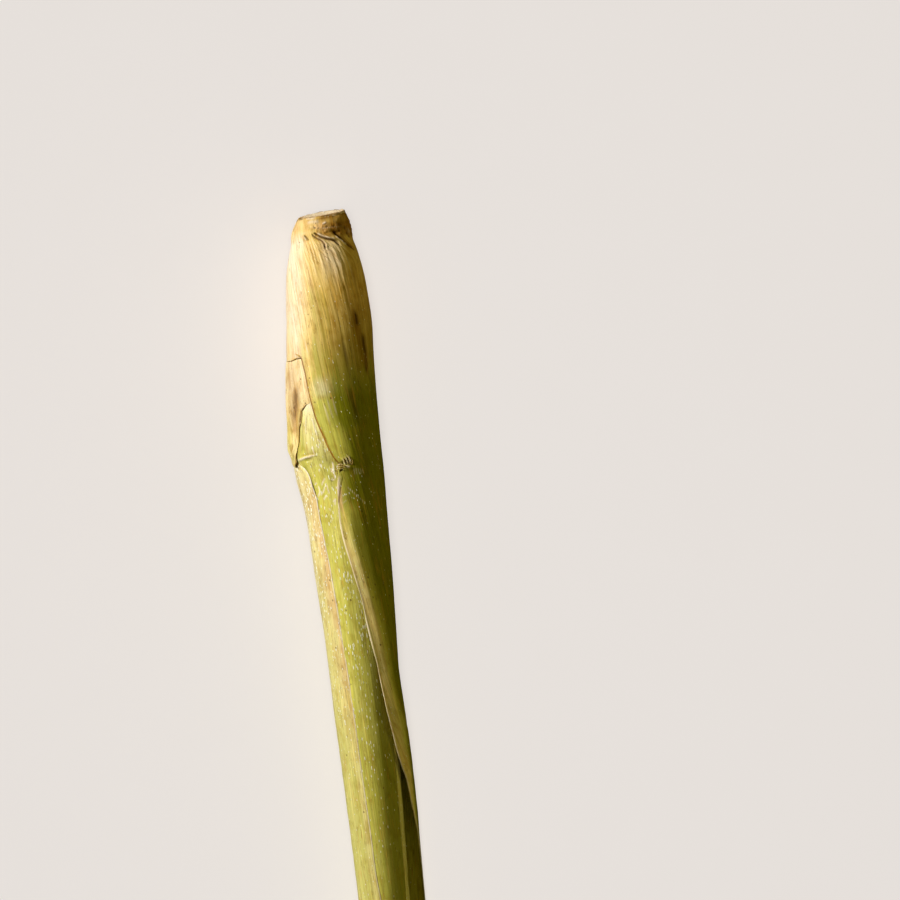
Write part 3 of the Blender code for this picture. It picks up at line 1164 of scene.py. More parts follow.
@dataclass
class CutEnd:
    """A cut across the stalk: rings of leaf round a core, a rim, and a short side below it.

    It is spun from a profile of (distance, radius) points that runs from the middle to the side.
    """

    name: str
    node: str
    finish: CutFinish
    profile: Path
    rings: tuple[float, ...]
    rim_radius: float
    outwards: float = -1.0
    steps_round: int = 120
    step: float = 0.2
    ring_height: float = 0.12
    ring_width: float = 0.16
    gap_offset: float = 0.26
    gap_width: float = 0.14
    rim_width: float = 0.22
    out_of_round: float = 0.35
    raggedness: float = 0.10
    seed: int = 61

    def build(self) -> bpy.types.Object:
        """Models the cut and dresses it.

        Returns:
            The finished object.
        """
        bm = bmesh.new()
        points = [bm.verts.new((radius, distance, 0.0)) for distance, radius in self.fine_profile()]
        edges = [bm.edges.new(pair) for pair in zip(points, points[1:])]
        bmesh.ops.spin(
            bm, geom=points + edges, cent=(0, 0, 0), axis=(0, 1, 0), angle=math.tau,
            steps=self.steps_round, use_merge=True,
        )
        bmesh.ops.remove_doubles(bm, verts=bm.verts, dist=1e-4)
        place = np.array([v.co for v in bm.verts])
        angle = np.degrees(np.arctan2(place[:, 0], -place[:, 2]))
        radius = np.hypot(place[:, 0], place[:, 2])
        distance = place[:, 1] + self.outwards * self.raised(radius, angle)
        x, z = STALK.section(distance, angle, radius)
        for vertex, co in zip(bm.verts, STALK.place(x, distance, z)):
            vertex.co = co
        bmesh.ops.recalc_face_normals(bm, faces=bm.faces)
        paint(bm, self.tones(radius, angle))
        piece = add_piece(self.name, bm, self.finish.material())
        place_piece(piece, self.node)
        return piece

    def fine_profile(self) -> list[tuple[float, float]]:
        """The profile with a point at about every step.

        Returns:
            Its (distance, radius) points.
        """
        fine = [self.profile[0]]
        for (s0, r0), (s1, r1) in zip(self.profile, self.profile[1:]):
            count = max(1, round(math.hypot(s1 - s0, r1 - r0) / self.step))
            fine += [(s0 + (s1 - s0) * k / count, r0 + (r1 - r0) * k / count) for k in range(1, count + 1)]
        return fine

    def wandering(self, radius: Array, angle: Array) -> Array:
        """The radius as the rings feel it: they aren't quite round.

        Args:
            radius: Each place's distance from the middle of the cut.
            angle: Its angle round the section.

        Returns:
            The radius that each counts as.
        """
        turn = np.radians(angle)
        around = Grain(self.seed, 1.0, 1.0).at(2.2 * np.cos(turn) + 9, 2.2 * np.sin(turn) + 9)
        return radius + self.out_of_round * around * ease(radius, 0.5, 3.0)

    def raised(self, radius: Array, angle: Array) -> Array:
        """How far the tissue stands out of the cut.

        Args:
            radius: Each place's distance from the middle of the cut.
            angle: Its angle round the section.

        Returns:
            Heights in millimetres.
        """
        felt = self.wandering(radius, angle)
        ringed = sum(hump(felt - ring, self.ring_width) for ring in self.rings)
        ragged = Grain(self.seed + 1, 0.5, 0.5).at(felt * 1.2, np.radians(angle) * 6.0)
        inside = 1 - ease(radius, self.rim_radius, self.rim_radius + 0.3)
        return (self.ring_height * ringed + self.raggedness * ragged) * inside

    def tones(self, radius: Array, angle: Array) -> dict[Tone, Array]:
        """Paints darker gaps between the rings and a dried rim.

        Args:
            radius: Each place's distance from the middle of the cut.
            angle: Its angle round the section.

        Returns:
            The amount of each tone there.
        """
        felt = self.wandering(radius, angle)
        gaps = np.max([hump(felt - ring - self.gap_offset, self.gap_width) for ring in self.rings], axis=0)
        rim = hump(radius - self.rim_radius, self.rim_width)
        patchy = Grain(self.seed + 2, 1.2, 1.2).at(angle / 9, radius)
        return {Tone.BROWN: 0.75 * gaps + 0.5 * rim, Tone.SHADE: rim * ease(patchy, 0.1, 0.6)}


@dataclass(frozen=True)
class Shred:
    """A torn fibre or flap: a tapering strip along (distance, offset, lift) points above a leaf."""

    path: tuple[Place, ...]
    width: float


@dataclass
class Fray:
    """A bunch of torn fibres on the outer leaf."""

    name: str
    node: str
    finish: LeafFinish
    host: Sheet
    shreds: tuple[Shred, ...]
    brown: float
    steps: int = 10
    thickness: float = 0.12

    def build(self) -> bpy.types.Object:
        """Models the fibres and dresses them.

        Returns:
            The finished object, with its thickness as a Solidify modifier.
        """
        bm = bmesh.new()
        layer = bm.loops.layers.uv.new("fibres")
        for shred in self.shreds:
            made = bmesh.ops.create_grid(bm, x_segments=2, y_segments=self.steps, size=0.5)["verts"]
            place = np.array([v.co for v in made])
            for vertex, co in zip(made, self.lay(shred, place[:, 0], place[:, 1] + 0.5)):
                vertex.co = co
        bm.normal_update()
        for face in bm.faces:
            for loop in face.loops:
                loop[layer].uv = (loop.vert.co.x / MM, loop.vert.co.y / MM)
        down = [face for face in bm.faces if face.normal.z < 0]
        bmesh.ops.reverse_faces(bm, faces=down)
        paint(bm, {Tone.BROWN: np.full(len(bm.verts), self.brown)})
        piece = add_piece(self.name, bm, self.finish.material())
        add_wall(piece, self.thickness, 0.0)
        place_piece(piece, self.node)
        return piece

    def lay(self, shred: Shred, side: Array, share: Array) -> Array:
        """Puts a strip's places along its path.

        Args:
            shred: The strip.
            side: Places across it, from -0.5 to 0.5.
            share: Places along it, from 0 to 1.

        Returns:
            Points of the object's frame, in metres.
        """
        stations = np.linspace(0, 1, len(shred.path))
        lines = [Curve(tuple(zip(stations, values))) for values in zip(*shred.path)]
        distance, offset, lift = (line.at(share) for line in lines)
        near = 0.05
        ahead, behind = np.minimum(share + near, 1.0), np.maximum(share - near, 0.0)
        run_s, run_x = (line.at(ahead) - line.at(behind) for line in lines[:2])
        length = np.hypot(run_s, run_x)
        width = side * shred.width * (1 + near - share)
        distance = distance + width * run_x / length
        offset = offset - width * run_s / length
        flat = self.host.flattened(tuple(zip(distance, offset)))
        radius = self.host.radius.at(distance)
        x, z = STALK.section(distance, np.degrees(flat[:, 1] / radius), radius + lift)
        return STALK.place(x, distance, z)


# ---- Floor, light and camera ----


class Lit(Enum):
    """What a lamp lights: the stalk alone, or the floor alone."""

    STALK = "EXCLUDE"
    FLOOR = "INCLUDE"


@dataclass(frozen=True)
class SoftBox:
    """A square soft light.

    Its direction is seen from the stalk, its side and distance are in metres, and its level is how
    bright it makes a white surface that faces it.
    """

    name: str
    direction: Place
    distance: float
    side: float
    level: float
    lit: Lit = Lit.STALK
    colour: Colour = (1.0, 1.0, 1.0)
    shines: bool = True
    shadows: bool = True

    def build(self, target: Vector, floor: bpy.types.Object) -> None:
        """Hangs the light.

        Args:
            target: The point that it faces, in metres.
            floor: The floor, which it lights alone or leaves out.
        """
        light = bpy.data.lights.new(self.name, "AREA")
        light.shape = "SQUARE"
        light.size = self.side
        light.color = self.colour
        light.energy = self.level * (math.pi * self.distance) ** 2
        light.use_shadow = self.shadows
        lamp = link(self.name, light)
        lamp.location = target + Vector(self.direction).normalized() * self.distance
        lamp.rotation_euler = (target - lamp.location).to_track_quat("-Z", "Y").to_euler()
        lamp.visible_glossy = self.shines
        chosen = bpy.data.collections.new(f"{self.name}_link")
        chosen.objects.link(floor)
        lamp.light_linking.receiver_collection = chosen
        chosen.collection_objects[0].light_linking.link_state = self.lit.value


@dataclass(frozen=True)
class Studio:
    """A plain pale floor, soft light from the left and a camera that looks straight down.

    Its aim, its lens and the floor's gap below the stalk are in millimetres, other lengths in metres.
    """

    floor_colour: Colour = (0.80, 0.76, 0.715)
    floor_size: float = 8.0
    floor_gap: float = 0.01
    surround: Colour = (0.79, 0.75, 0.70)
    tilt: float = 5.19
    lens: float = 100.0
    camera_height: float = 0.635
    aim: tuple[float, float] = (27.4, 79.0)
    lights: tuple[SoftBox, ...] = (
        SoftBox("key", (-0.80, 0.50, 0.50), 0.9, 0.24, 1.55, colour=(1.0, 0.985, 0.94)),
        SoftBox("rim", (0.95, 0.05, 0.10), 0.9, 0.4, 0.26, colour=(1.0, 0.89, 0.30), shines=False),
        SoftBox("fill", (0.1, 0.1, 1.0), 1.2, 1.0, 0.08, colour=(1.0, 0.92, 0.20), shines=False),
        SoftBox("back", (0.5, -1.0, 0.12), 1.2, 0.8, 0.16, colour=(1.0, 0.90, 0.60), shines=False),
        SoftBox("backdrop", (0.0, 0.0, 1.0), 2.2, 0.7, 0.88, Lit.FLOOR, (0.945, 0.937, 0.945), shadows=False),
        SoftBox("contact", (0.0, 0.0, 1.0), 2.2, 0.7, 0.22, Lit.FLOOR, (0.945, 0.937, 0.945)),
    )

    def build(self) -> None:
        """Adds the floor, the lights and the camera."""
        floor = self.add_floor()
        target = Vector((CAD_LOW + CAD_HIGH) / 2)
        target.y = self.aim[1] * MM
        for light in self.lights:
            light.build(target, floor)
        self.add_world()
        self.add_camera()

    def add_floor(self) -> bpy.types.Object:
        """A large plane at the height that the stalk lies on.

        Returns:
            The floor, which throws no light back on the stalk.
        """
        bm = bmesh.new()
        bmesh.ops.create_grid(bm, x_segments=1, y_segments=1, size=self.floor_size / 2)
        graph = Graph("floor")
        grain = graph.noise(graph.object_place(60.0), detail=2.0)
        colour = graph.mix(self.floor_colour, (1.0, 1.0, 1.0), grain * 0.03)
        mesh = bpy.data.meshes.new("floor")
        bm.to_mesh(mesh)
        bm.free()
        sockets = {"Base Color": colour, "Roughness": 0.9, "Specular IOR Level": 0.1}
        mesh.materials.append(graph.finish(sockets))
        for vertex in mesh.vertices:
            vertex.co.z = CAD_LOW.z - self.floor_gap * MM
        floor = link("floor", mesh)
        floor.visible_diffuse = False
        floor.visible_glossy = False
        return floor

    def add_world(self) -> None:
        """A pale surround that is seen but throws no light."""
        world = bpy.data.worlds.new("studio")
        world.use_nodes = True
        world.node_tree.nodes["Background"].inputs["Color"].default_value = (*self.surround, 1.0)
        world.cycles_visibility.diffuse = False
        world.cycles_visibility.glossy = False
        bpy.context.scene.world = world

    def add_camera(self) -> None:
        """A long lens straight over the stalk, turned so that the stalk leans in the frame."""
        camera = bpy.data.cameras.new("camera")
        camera.lens = self.lens
        camera.clip_start = 0.01
        seat = link("camera", camera)
        seat.location = (self.aim[0] * MM, self.aim[1] * MM, self.camera_height)
        seat.rotation_euler = (0.0, 0.0, -math.radians(self.tilt))
        bpy.context.scene.camera = seat
        bpy.context.scene.view_settings.view_transform = "Standard"


# ---- The stalk's pieces ----


def fan(first: Path, last: Path, count: int, height: float, seed: int) -> tuple[Fold, ...]:
    """Pleats that sweep from one path to another.

    Args:
        first: The first pleat's path.
        last: The last pleat's path, with as many points.
        count: How many pleats there are.
        height: Their greatest height.
        seed: Their random seed.

    Returns:
        Ridges and grooves by turns, uneven in place, height and width, with painted shade in the grooves and
        a painted highlight on the ridges.
    """
    chance = np.random.default_rng(seed)
    start, end = np.array(first), np.array(last)
    pleats = []
    for k in range(count):
        share = (k + chance.uniform(-0.3, 0.3)) / max(count - 1, 1)
        path = start * (1 - share) + end * share
        path = path[: chance.integers(max(2, len(path) - 2), len(path) + 1)]
        rise = height * chance.uniform(0.45, 1.0) * (1 if k % 2 else -1)
        width = chance.uniform(0.16, 0.30)
        # Grooves are stained brown as painted shade, and ridges cream as painted highlight.
        stain_and_painted_light = Tone.BROWN if rise < 0 else Tone.CREAM
        pleats.append(Fold(tuple(map(tuple, path.tolist())), rise, width, width, 0.3, stain_and_painted_light, 0.22))
    return tuple(pleats)


def comb(
    first: Path, last: Path, count: int, width: float, strength: float, taper: float
) -> tuple[Mark, ...]:
    """Fine cream scratches side by side, from one path to another.

    Args:
        first: The first scratch's path.
        last: The last scratch's path, with as many points.
        count: How many scratches there are.
        width: The width of each.
        strength: How pale each is.
        taper: How much of its length each fades over at its ends.

    Returns:
        The scratches, evenly spaced.
    """
    start, end = np.array(first), np.array(last)
    paths = [start + (end - start) * k / (count - 1) for k in range(count)]
    return tuple(Mark(Tone.CREAM, tuple(map(tuple, p.tolist())), width, strength, taper) for p in paths)


# The angle where the outer leaf turns from light green to olive: beyond it the leaf is partly its own darker
# green and partly painted shade, on the side away from the key light.
OLIVE_AND_SHADE_LINE = Curve(
    (
        (28, 6), (38, 0), (44, -6), (50, -2), (55, 9), (60, 12), (64, 3), (70, 3), (74, 12), (80, 17),
        (90, 28), (98, 37), (110, 49), (125, 58), (142, 74),
    )
)


def butt_folds() -> tuple[Fold, ...]:
    """The creases, pleats and chips round the outer leaf's root end.

    Returns:
        The creases and chips, and then the long and the short pleats.
    """
    # The dark SHADE and BROWN stains in the grooves are partly painted shade, and the CREAM stains on the
    # ridges partly painted highlight.
    creases = (
        Fold(((4.2, -2.3), (5, -1.25), (5.75, -0.15), (6.15, 0.9), (6.5, 2), (6.8, 2.8), (7.4, 3.5),
             (8.2, 4.2)), -0.52, 0.2, 0.24, 0.12, Tone.SHADE, 0.9),
        Fold(((4.2, -1.5), (5, -0.6), (5.55, 0.4), (5.95, 1.5), (6.2, 2.6), (6.8, 3.5)), 0.42, 0.26, 0.26,
             0.2, Tone.CREAM, 0.85),
        Fold(((4.2, 2.7), (5.1, 3.3), (5.9, 4.1), (6.6, 5), (7.5, 5.75), (8.2, 6.6), (8.9, 7.4)), -0.80,
             0.28, 0.32, 0.06, Tone.SHADE, 1.0),
        Fold(((5.2, 3), (5.9, 3.55), (6.6, 4.4), (7.4, 5.2), (8.2, 6)), 0.46, 0.26, 0.22, 0.2, Tone.CREAM,
             0.95),
        Fold(((4.5, -2.7), (5.3, -2.1), (5.9, -1.4), (6.4, -0.5), (6.9, 0), (7.6, 0.4), (8.9, 0.5)), -0.36,
             0.16, 0.18, 0.10, Tone.SHADE, 0.9),
        Fold(((5.2, -1.75), (6, -0.8), (6.6, 0.2), (7.5, 0.85), (8.8, 0.95)), 0.26, 0.2, 0.25, 0.2,
             Tone.CREAM, 0.5),
        Fold(((4.6, -4.5), (5.4, -4), (6.3, -3.4)), -0.34, 0.16, 0.2, 0.2, Tone.SHADE, 0.85),
        Fold(((4.4, -4.9), (5.3, -4.5), (6.3, -3.9)), 0.22, 0.2, 0.2, 0.25, Tone.CREAM, 0.5),
        Fold(((3.4, 6.05), (4.3, 6.35), (5.3, 6.7)), 0.35, 0.22, 0.3, 0.3, Tone.CREAM, 0.9),
        Fold(((2.8, 5.3), (4, 5.8), (5.2, 6.2), (6.2, 6.7)), -0.4, 0.22, 0.25, 0.2, Tone.SHADE, 0.9),
        Fold(((3.3, 1.8), (4.3, 2.6), (4.6, 3.8), (3.9, 4.7)), -0.35, 0.4, 0.5, 0.3, Tone.BROWN, 0.7),
        Fold(((1.3, -4), (1.15, -2.6), (1.3, -1), (1.9, -0.2)), 0.30, 0.5, 0.4, 0.3, Tone.CREAM, 0.5),
        Fold(((2.6, -3.6), (3, -2.4), (3.4, -1.4), (4.2, -0.4)), -0.22, 0.4, 0.4, 0.3, Tone.BROWN, 0.35),
        Fold(((2.2, 0.1), (1.95, 0.7), (1.75, 1.3)), 0.35, 0.2, 0.28, 0.3, Tone.CREAM, 1.0),
        Fold(((0.75, -1.6), (0.7, 0.5), (0.65, 2.5), (0.7, 4.6)), -0.30, 0.35, 0.35, 0.2, Tone.BROWN, 0.95),
    )
    long_pleats = fan(
        ((4.8, -4.9), (6.5, -4.3), (9, -3.7), (13, -3), (18, -2)),
        ((7.4, 3.9), (8.6, 5), (10.4, 5.9), (14, 6.9), (19, 7.6)),
        26, 0.10, 91,
    )
    short_pleats = fan(
        ((4.6, -2.9), (5.4, -2.2), (6.3, -1.5), (7.4, -1)),
        ((5.6, 2.6), (6.3, 3.8), (7.2, 4.9), (8.2, 5.8)),
        9, 0.14, 92,
    )
    return creases + long_pleats + short_pleats


def base_folds() -> tuple[Fold, ...]:
    """The long, low waves down the outer leaf's swollen base, and the curl at the tear's corner."""
    return (
        Fold(((6.6, -2.3), (8.5, -1.7), (10.5, -1), (12.5, -0.4), (14.5, 0)), 0.14, 0.3, 0.35, 0.3),
        Fold(((7.2, -0.9), (9, -0.4), (11, 0.2), (13, 0.5)), -0.13, 0.22, 0.22, 0.3, Tone.BROWN, 0.4),
        Fold(((8, 1.8), (9.8, 3), (12.3, 3.8), (14.5, 4)), 0.14, 0.3, 0.35, 0.3),
        Fold(((7.6, 0.9), (9.2, 1.9), (11.5, 2.6), (13.5, 2.9)), -0.13, 0.22, 0.22, 0.3, Tone.BROWN, 0.4),
        Fold(((7.5, -5.5), (10, -5.2), (13, -4.9), (17, -4.3)), -0.12, 0.3, 0.3, 0.3, Tone.BROWN, 0.35),
        Fold(((11.5, 3.9), (15, 4.3), (18.5, 4.6)), 0.14, 0.25, 0.25),
        Fold(((16.5, 4.2), (20, 4.6), (25, 5.3)), -0.16, 0.3, 0.3, 0.3, Tone.BROWN, 0.5),
        Fold(((10, 5.2), (14, 6.2), (20, 7.2), (27, 8)), -0.12, 0.4, 0.4, 0.3, Tone.BROWN, 0.35),
        Fold(((20, -3), (26, -2), (33, -0.8), (40, 0.5)), -0.08, 0.6, 0.6, 0.4),
        Fold(((32.5, -9.75), (33.2, -9.65), (33.9, -9.4)), 0.2, 0.15, 0.2, 0.3),
    )


def knot_folds() -> tuple[Fold, ...]:
    """The gathered tissue where the outer leaf's sheath turns into its blade."""
    # Dark stains in the grooves are partly painted shade, and cream stains on the ridges partly painted
    # highlight.
    return (
        Fold(((60.4, 0.2), (61.3, 0.45), (62.2, 0.7)), 0.25, 0.15, 0.15, 0.3, Tone.CREAM, 0.9),
        Fold(((60.1, 0.85), (61.1, 1.15), (62.2, 1.5)), 0.28, 0.15, 0.15, 0.3, Tone.CREAM, 0.9),
        Fold(((59.9, 1.55), (61, 1.9), (62, 2.2)), 0.28, 0.15, 0.15, 0.3, Tone.CREAM, 0.9),
        Fold(((60.9, 0), (61.9, 0.1), (62.3, 0.35)), -0.35, 0.17, 0.17, 0.25, Tone.SHADE, 0.8),
        Fold(((60.6, 0.6), (61.5, 0.85), (62.3, 1.1)), -0.35, 0.14, 0.14, 0.25, Tone.SHADE, 0.9),
        Fold(((60.3, 1.25), (61.3, 1.6), (62.2, 1.85)), -0.35, 0.14, 0.14, 0.25, Tone.SHADE, 0.9),
        Fold(((60.5, 2.15), (61.4, 2.4), (62.1, 2.5)), -0.25, 0.14, 0.14, 0.25, Tone.BROWN, 0.9),
        Fold(((62.4, -1.3), (62.1, -0.7), (61.9, -0.1)), -0.3, 0.16, 0.16, 0.25, Tone.SHADE, 0.9),
        Fold(((63.9, -1.2), (63.5, -0.5), (62.9, 0.2)), -0.4, 0.18, 0.2, 0.2, Tone.SHADE, 1.0),
        Fold(((64.5, 0.05), (66.4, -0.6), (68.2, -1.1), (70.2, -1.5), (72, -1.9)), -0.10, 0.12, 0.12, 0.15,
             Tone.SHADE, 0.85),
        Fold(((64.3, -1.1), (66.4, -1.35), (68.4, -1.7), (70.5, -1.95)), 0.08, 0.35, 0.35, 0.2, Tone.CREAM,
             0.8),
    )


def blade_folds() -> tuple[Fold, ...]:
    """The blade's broad roll, the thin ridge beside its cream edge and a small crease above them."""
    return (
        Fold(((72, 0), (76, 0.4), (80, 0.8), (85.5, 1.7), (91, 2.8), (101, 4.3), (113, 6), (124, 7.2),
             (134, 8.4)), 0.50, 1.7, 1.2, 0.12),
        Fold(((74, -1.8), (80, -1.4), (85.5, -0.3), (91, 0.8), (101, 2.3), (113, 4), (124, 5.3), (134, 6.8),
             (141, 8.1)), 0.16, 0.3, 0.3, 0.08),
        Fold(((71.6, -1.2), (71.3, -0.4), (70.7, 0.3)), 0.06, 0.12, 0.12, 0.3, Tone.CREAM, 0.4),
    )


def outer_washes() -> tuple[Wash, ...]:
    """The outer leaf's colours: straw and cream to green and olive, browned on the right."""
    # From left to right these washes are partly the leaf's own colours and partly painted highlight and
    # painted shade, for the key light on the left.
    return (
        # Paler on the left, towards the key light: partly the leaf's own paleness and partly painted
        # highlight.
        Wash(Tone.CREAM, Curve(((3, 0.2), (7, 0.6), (28, 0.55), (38, 0.3), (48, 0.2), (62, 0))),
             Curve(((-160, 0.6), (-95, 0.9), (-62, 1.1), (-42, 1), (-30, 0.35), (-18, 0.08), (5, 0)))),
        # Painted highlight where the root end tapers up towards the key light.
        Wash(Tone.CREAM, Curve(((5.5, 0), (7.5, 0.4), (12, 0.4), (16, 0.15), (20, 0))),
             Curve(((-20, 0), (-5, 0.3), (8, 1), (28, 1), (40, 0)))),
        Wash(Tone.GREEN, Curve(((12, 0), (22, 0.5), (30, 0.5), (36, 0.65))),
             Curve(((-37, 0), (-14, 1), (0, 0.8), (18, 0)))),
        Wash(Tone.GREEN, Curve(((28, 0), (34, 0.3), (40, 0.55), (46, 0.75), (60, 0.9), (66, 0.9), (72, 0))),
             Curve(((-40, 0.55), (-10, 1), (200, 1)))),
        Wash(Tone.GREEN, Curve(((62, 0), (68, 0.9), (280, 0.95))),
             Curve(((-34, 0.5), (-12, 0.6), (-2, 0.95), (10, 1), (200, 1))), OLIVE_AND_SHADE_LINE),
        # Olive beyond the line: partly the leaf's darker green and partly painted shade.
        Wash(Tone.OLIVE, Curve(((20, 0), (27, 0.2), (33, 0.4), (38, 0.52), (44, 0.85), (47, 1), (66, 1),
             (120, 1), (132, 0))), Curve(((-8, 0), (2, 0.45), (12, 1), (75, 1), (100, 0.7), (300, 0.6))),
             OLIVE_AND_SHADE_LINE),
        Wash(Tone.OLIVE, Curve(((120, 0), (130, 0.95), (280, 0.8))),
             Curve(((60, 0), (74, 0.9), (96, 0.9), (108, 0), (300, 0)))),
        # Browner towards the right, away from the key light: partly the leaf's own browning and partly
        # painted shade.
        Wash(Tone.BROWN, Curve(((0, 0.4), (7, 0.15), (14, 0.2), (18, 0.3), (24, 0.45), (36, 0.5), (42, 0.3),
             (48, 0))), Curve(((-28, 0), (-14, 0.4), (0, 0.6), (25, 0.85), (45, 1), (75, 0.8),
             (110, 0.4)))),
        # Painted shade across the top of the swollen base, between the lit left and the dark right.
        Wash(Tone.SHADE, Curve(((18, 0), (26, 0.12), (38, 0.14), (46, 0))),
             Curve(((-25, 0), (-12, 1), (6, 1), (20, 0)))),
        Wash(Tone.BROWN, Curve(((44, 0.1), (50, 0.3), (66, 0.2), (100, 0.1), (120, 0))),
             Curve(((25, 0), (50, 0.8), (100, 1)))),
        Wash(Tone.BROWN, Curve(((0.3, 0.8), (1.6, 0.6), (2.6, 0.9), (4.8, 0.85), (6.5, 0))),
             Curve(((-18, 0), (2, 0.8), (16, 1), (120, 1)))),
        Wash(Tone.BROWN, Curve(((0.3, 0.35), (3.5, 0.25), (6, 0))),
             Curve(((-160, 1), (-40, 0.6), (0, 0.8)))),
        Wash(Tone.WAX, Curve(((12, 0), (18, 0.24), (50, 0.24), (60, 0.4), (66, 0.4), (75, 0.25),
             (142, 0.25))), Curve(((-60, 0.3), (0, 1), (60, 0.7)))),
        Wash(Tone.ROSE, Curve(((63.5, 0), (64.5, 0.9), (70, 0.8), (73, 0))),
             Curve(((-8, 0.7), (-1, 1), (2, 0)))),
        Wash(Tone.CREAM, Curve(((72, 0), (80, 0.12), (86, 0.2), (110, 0.2), (142, 0.1), (160, 0))),
             Curve(((-40, 1), (-14, 0.9), (0, 0))), OLIVE_AND_SHADE_LINE),
    )


def butt_marks() -> tuple[Mark, ...]:
    """Stains, chips and pale creases round the outer leaf's root end."""
    return strokes(
        Tone.BROWN,
        (((4.2, -2.3), (5, -1.25), (5.75, -0.15), (6.15, 0.9), (6.5, 2), (6.8, 2.8), (7.4, 3.5),
         (8.4, 4.3)), 0.42, 0.75, 0.15),
        (((4.2, 2.7), (5.1, 3.3), (5.9, 4.1), (6.6, 5), (7.5, 5.75), (8.2, 6.6), (9.2, 7.6)), 0.7, 0.95,
         0.1),
        (((4.5, -2.7), (5.3, -2.1), (5.9, -1.4), (6.4, -0.5), (6.9, 0), (7.6, 0.4), (9.2, 0.6)), 0.4,
         0.7, 0.2),
        (((2.2, 1.6), (2.6, 3), (2.7, 4.6)), 0.7, 0.8, 0.3),
        (((3.8, -3), (3, -2.2), (2.6, -1.2)), 0.3, 0.6, 0.3),
    ) + strokes(
        Tone.SHADE,
        (((0.1, -0.6), (0.2, 1.5), (0.2, 3.5), (0.1, 5.2)), 0.20, 0.9, 0.1),
        (((0.1, -6.2), (0.25, -5.2), (0.2, -4.4)), 0.22, 0.8, 0.2),
        (((4.3, 3.1), (4.9, 3.5)), 0.45, 1.0, 0.3),
        (((3.9, 3.9), (4.5, 4.4)), 0.22, 0.8, 0.3),
        (((4.8, 4.3), (5.6, 5)), 0.18, 0.6, 0.3),
        (((2.6, -1.9), (3.3, -1.6)), 0.24, 0.9, 0.3),
        (((2.9, -0.9), (3.4, -0.7)), 0.2, 0.7, 0.3),
        (((3.1, 3.6), (2.9, 5.2)), 0.4, 0.5, 0.3),
        (((0.75, -1.2), (0.8, 1.5), (0.8, 3.9)), 0.5, 0.4, 0.3),
        (((2.6, 1.4), (3.4, 3.2), (4, 5.4)), 1.3, 0.3, 0.3),
        (((0.5, -6), (0.9, -6.6)), 0.25, 0.7, 0.3),
        (((2.2, -7), (3.3, -7.2)), 0.3, 0.5, 0.3),
        (((6.2, -5.9), (6.4, -5.75)), 0.14, 0.8, 0.1),
    ) + strokes(
        Tone.CREAM,
        (((0.35, 0.9), (0.42, 1.15)), 0.16, 1.0, 0.1),
        (((0.42, 1.7), (0.46, 2)), 0.15, 1.0, 0.1),
        (((0.42, 2.7), (0.46, 3)), 0.14, 1.0, 0.1),
        (((0.3, -4), (0.35, -2.4), (0.25, -1.2)), 0.20, 0.8, 0.2),
        (((5.8, 3), (6.4, 4.2), (7.2, 5.1)), 0.2, 0.5, 0.3),
        # The first is a painted highlight on the rolled bump below the cut, the second a pale crest that is
        # partly painted highlight.
        (((1.2, -3.6), (1.1, -2.2), (1.4, -1.2)), 0.4, 0.6, 0.3),
        (((2.2, 0.1), (1.95, 0.7), (1.75, 1.3)), 0.26, 1.2, 0.3),
        (((3.6, 6), (4.3, 6.3), (5.2, 6.6)), 0.2, 0.7, 0.3),
    ) + strokes(
        Tone.ROSE,
        (((1.6, -4.5), (2.4, -2.5), (2.8, 0), (2.9, 2.5)), 1.3, 0.7, 0.3),
    ) + comb(((3.1, 0.3), (3.5, 0.35)), ((3.1, 4.7), (3.5, 4.75)), 9, 0.13, 1.0, 0.3)


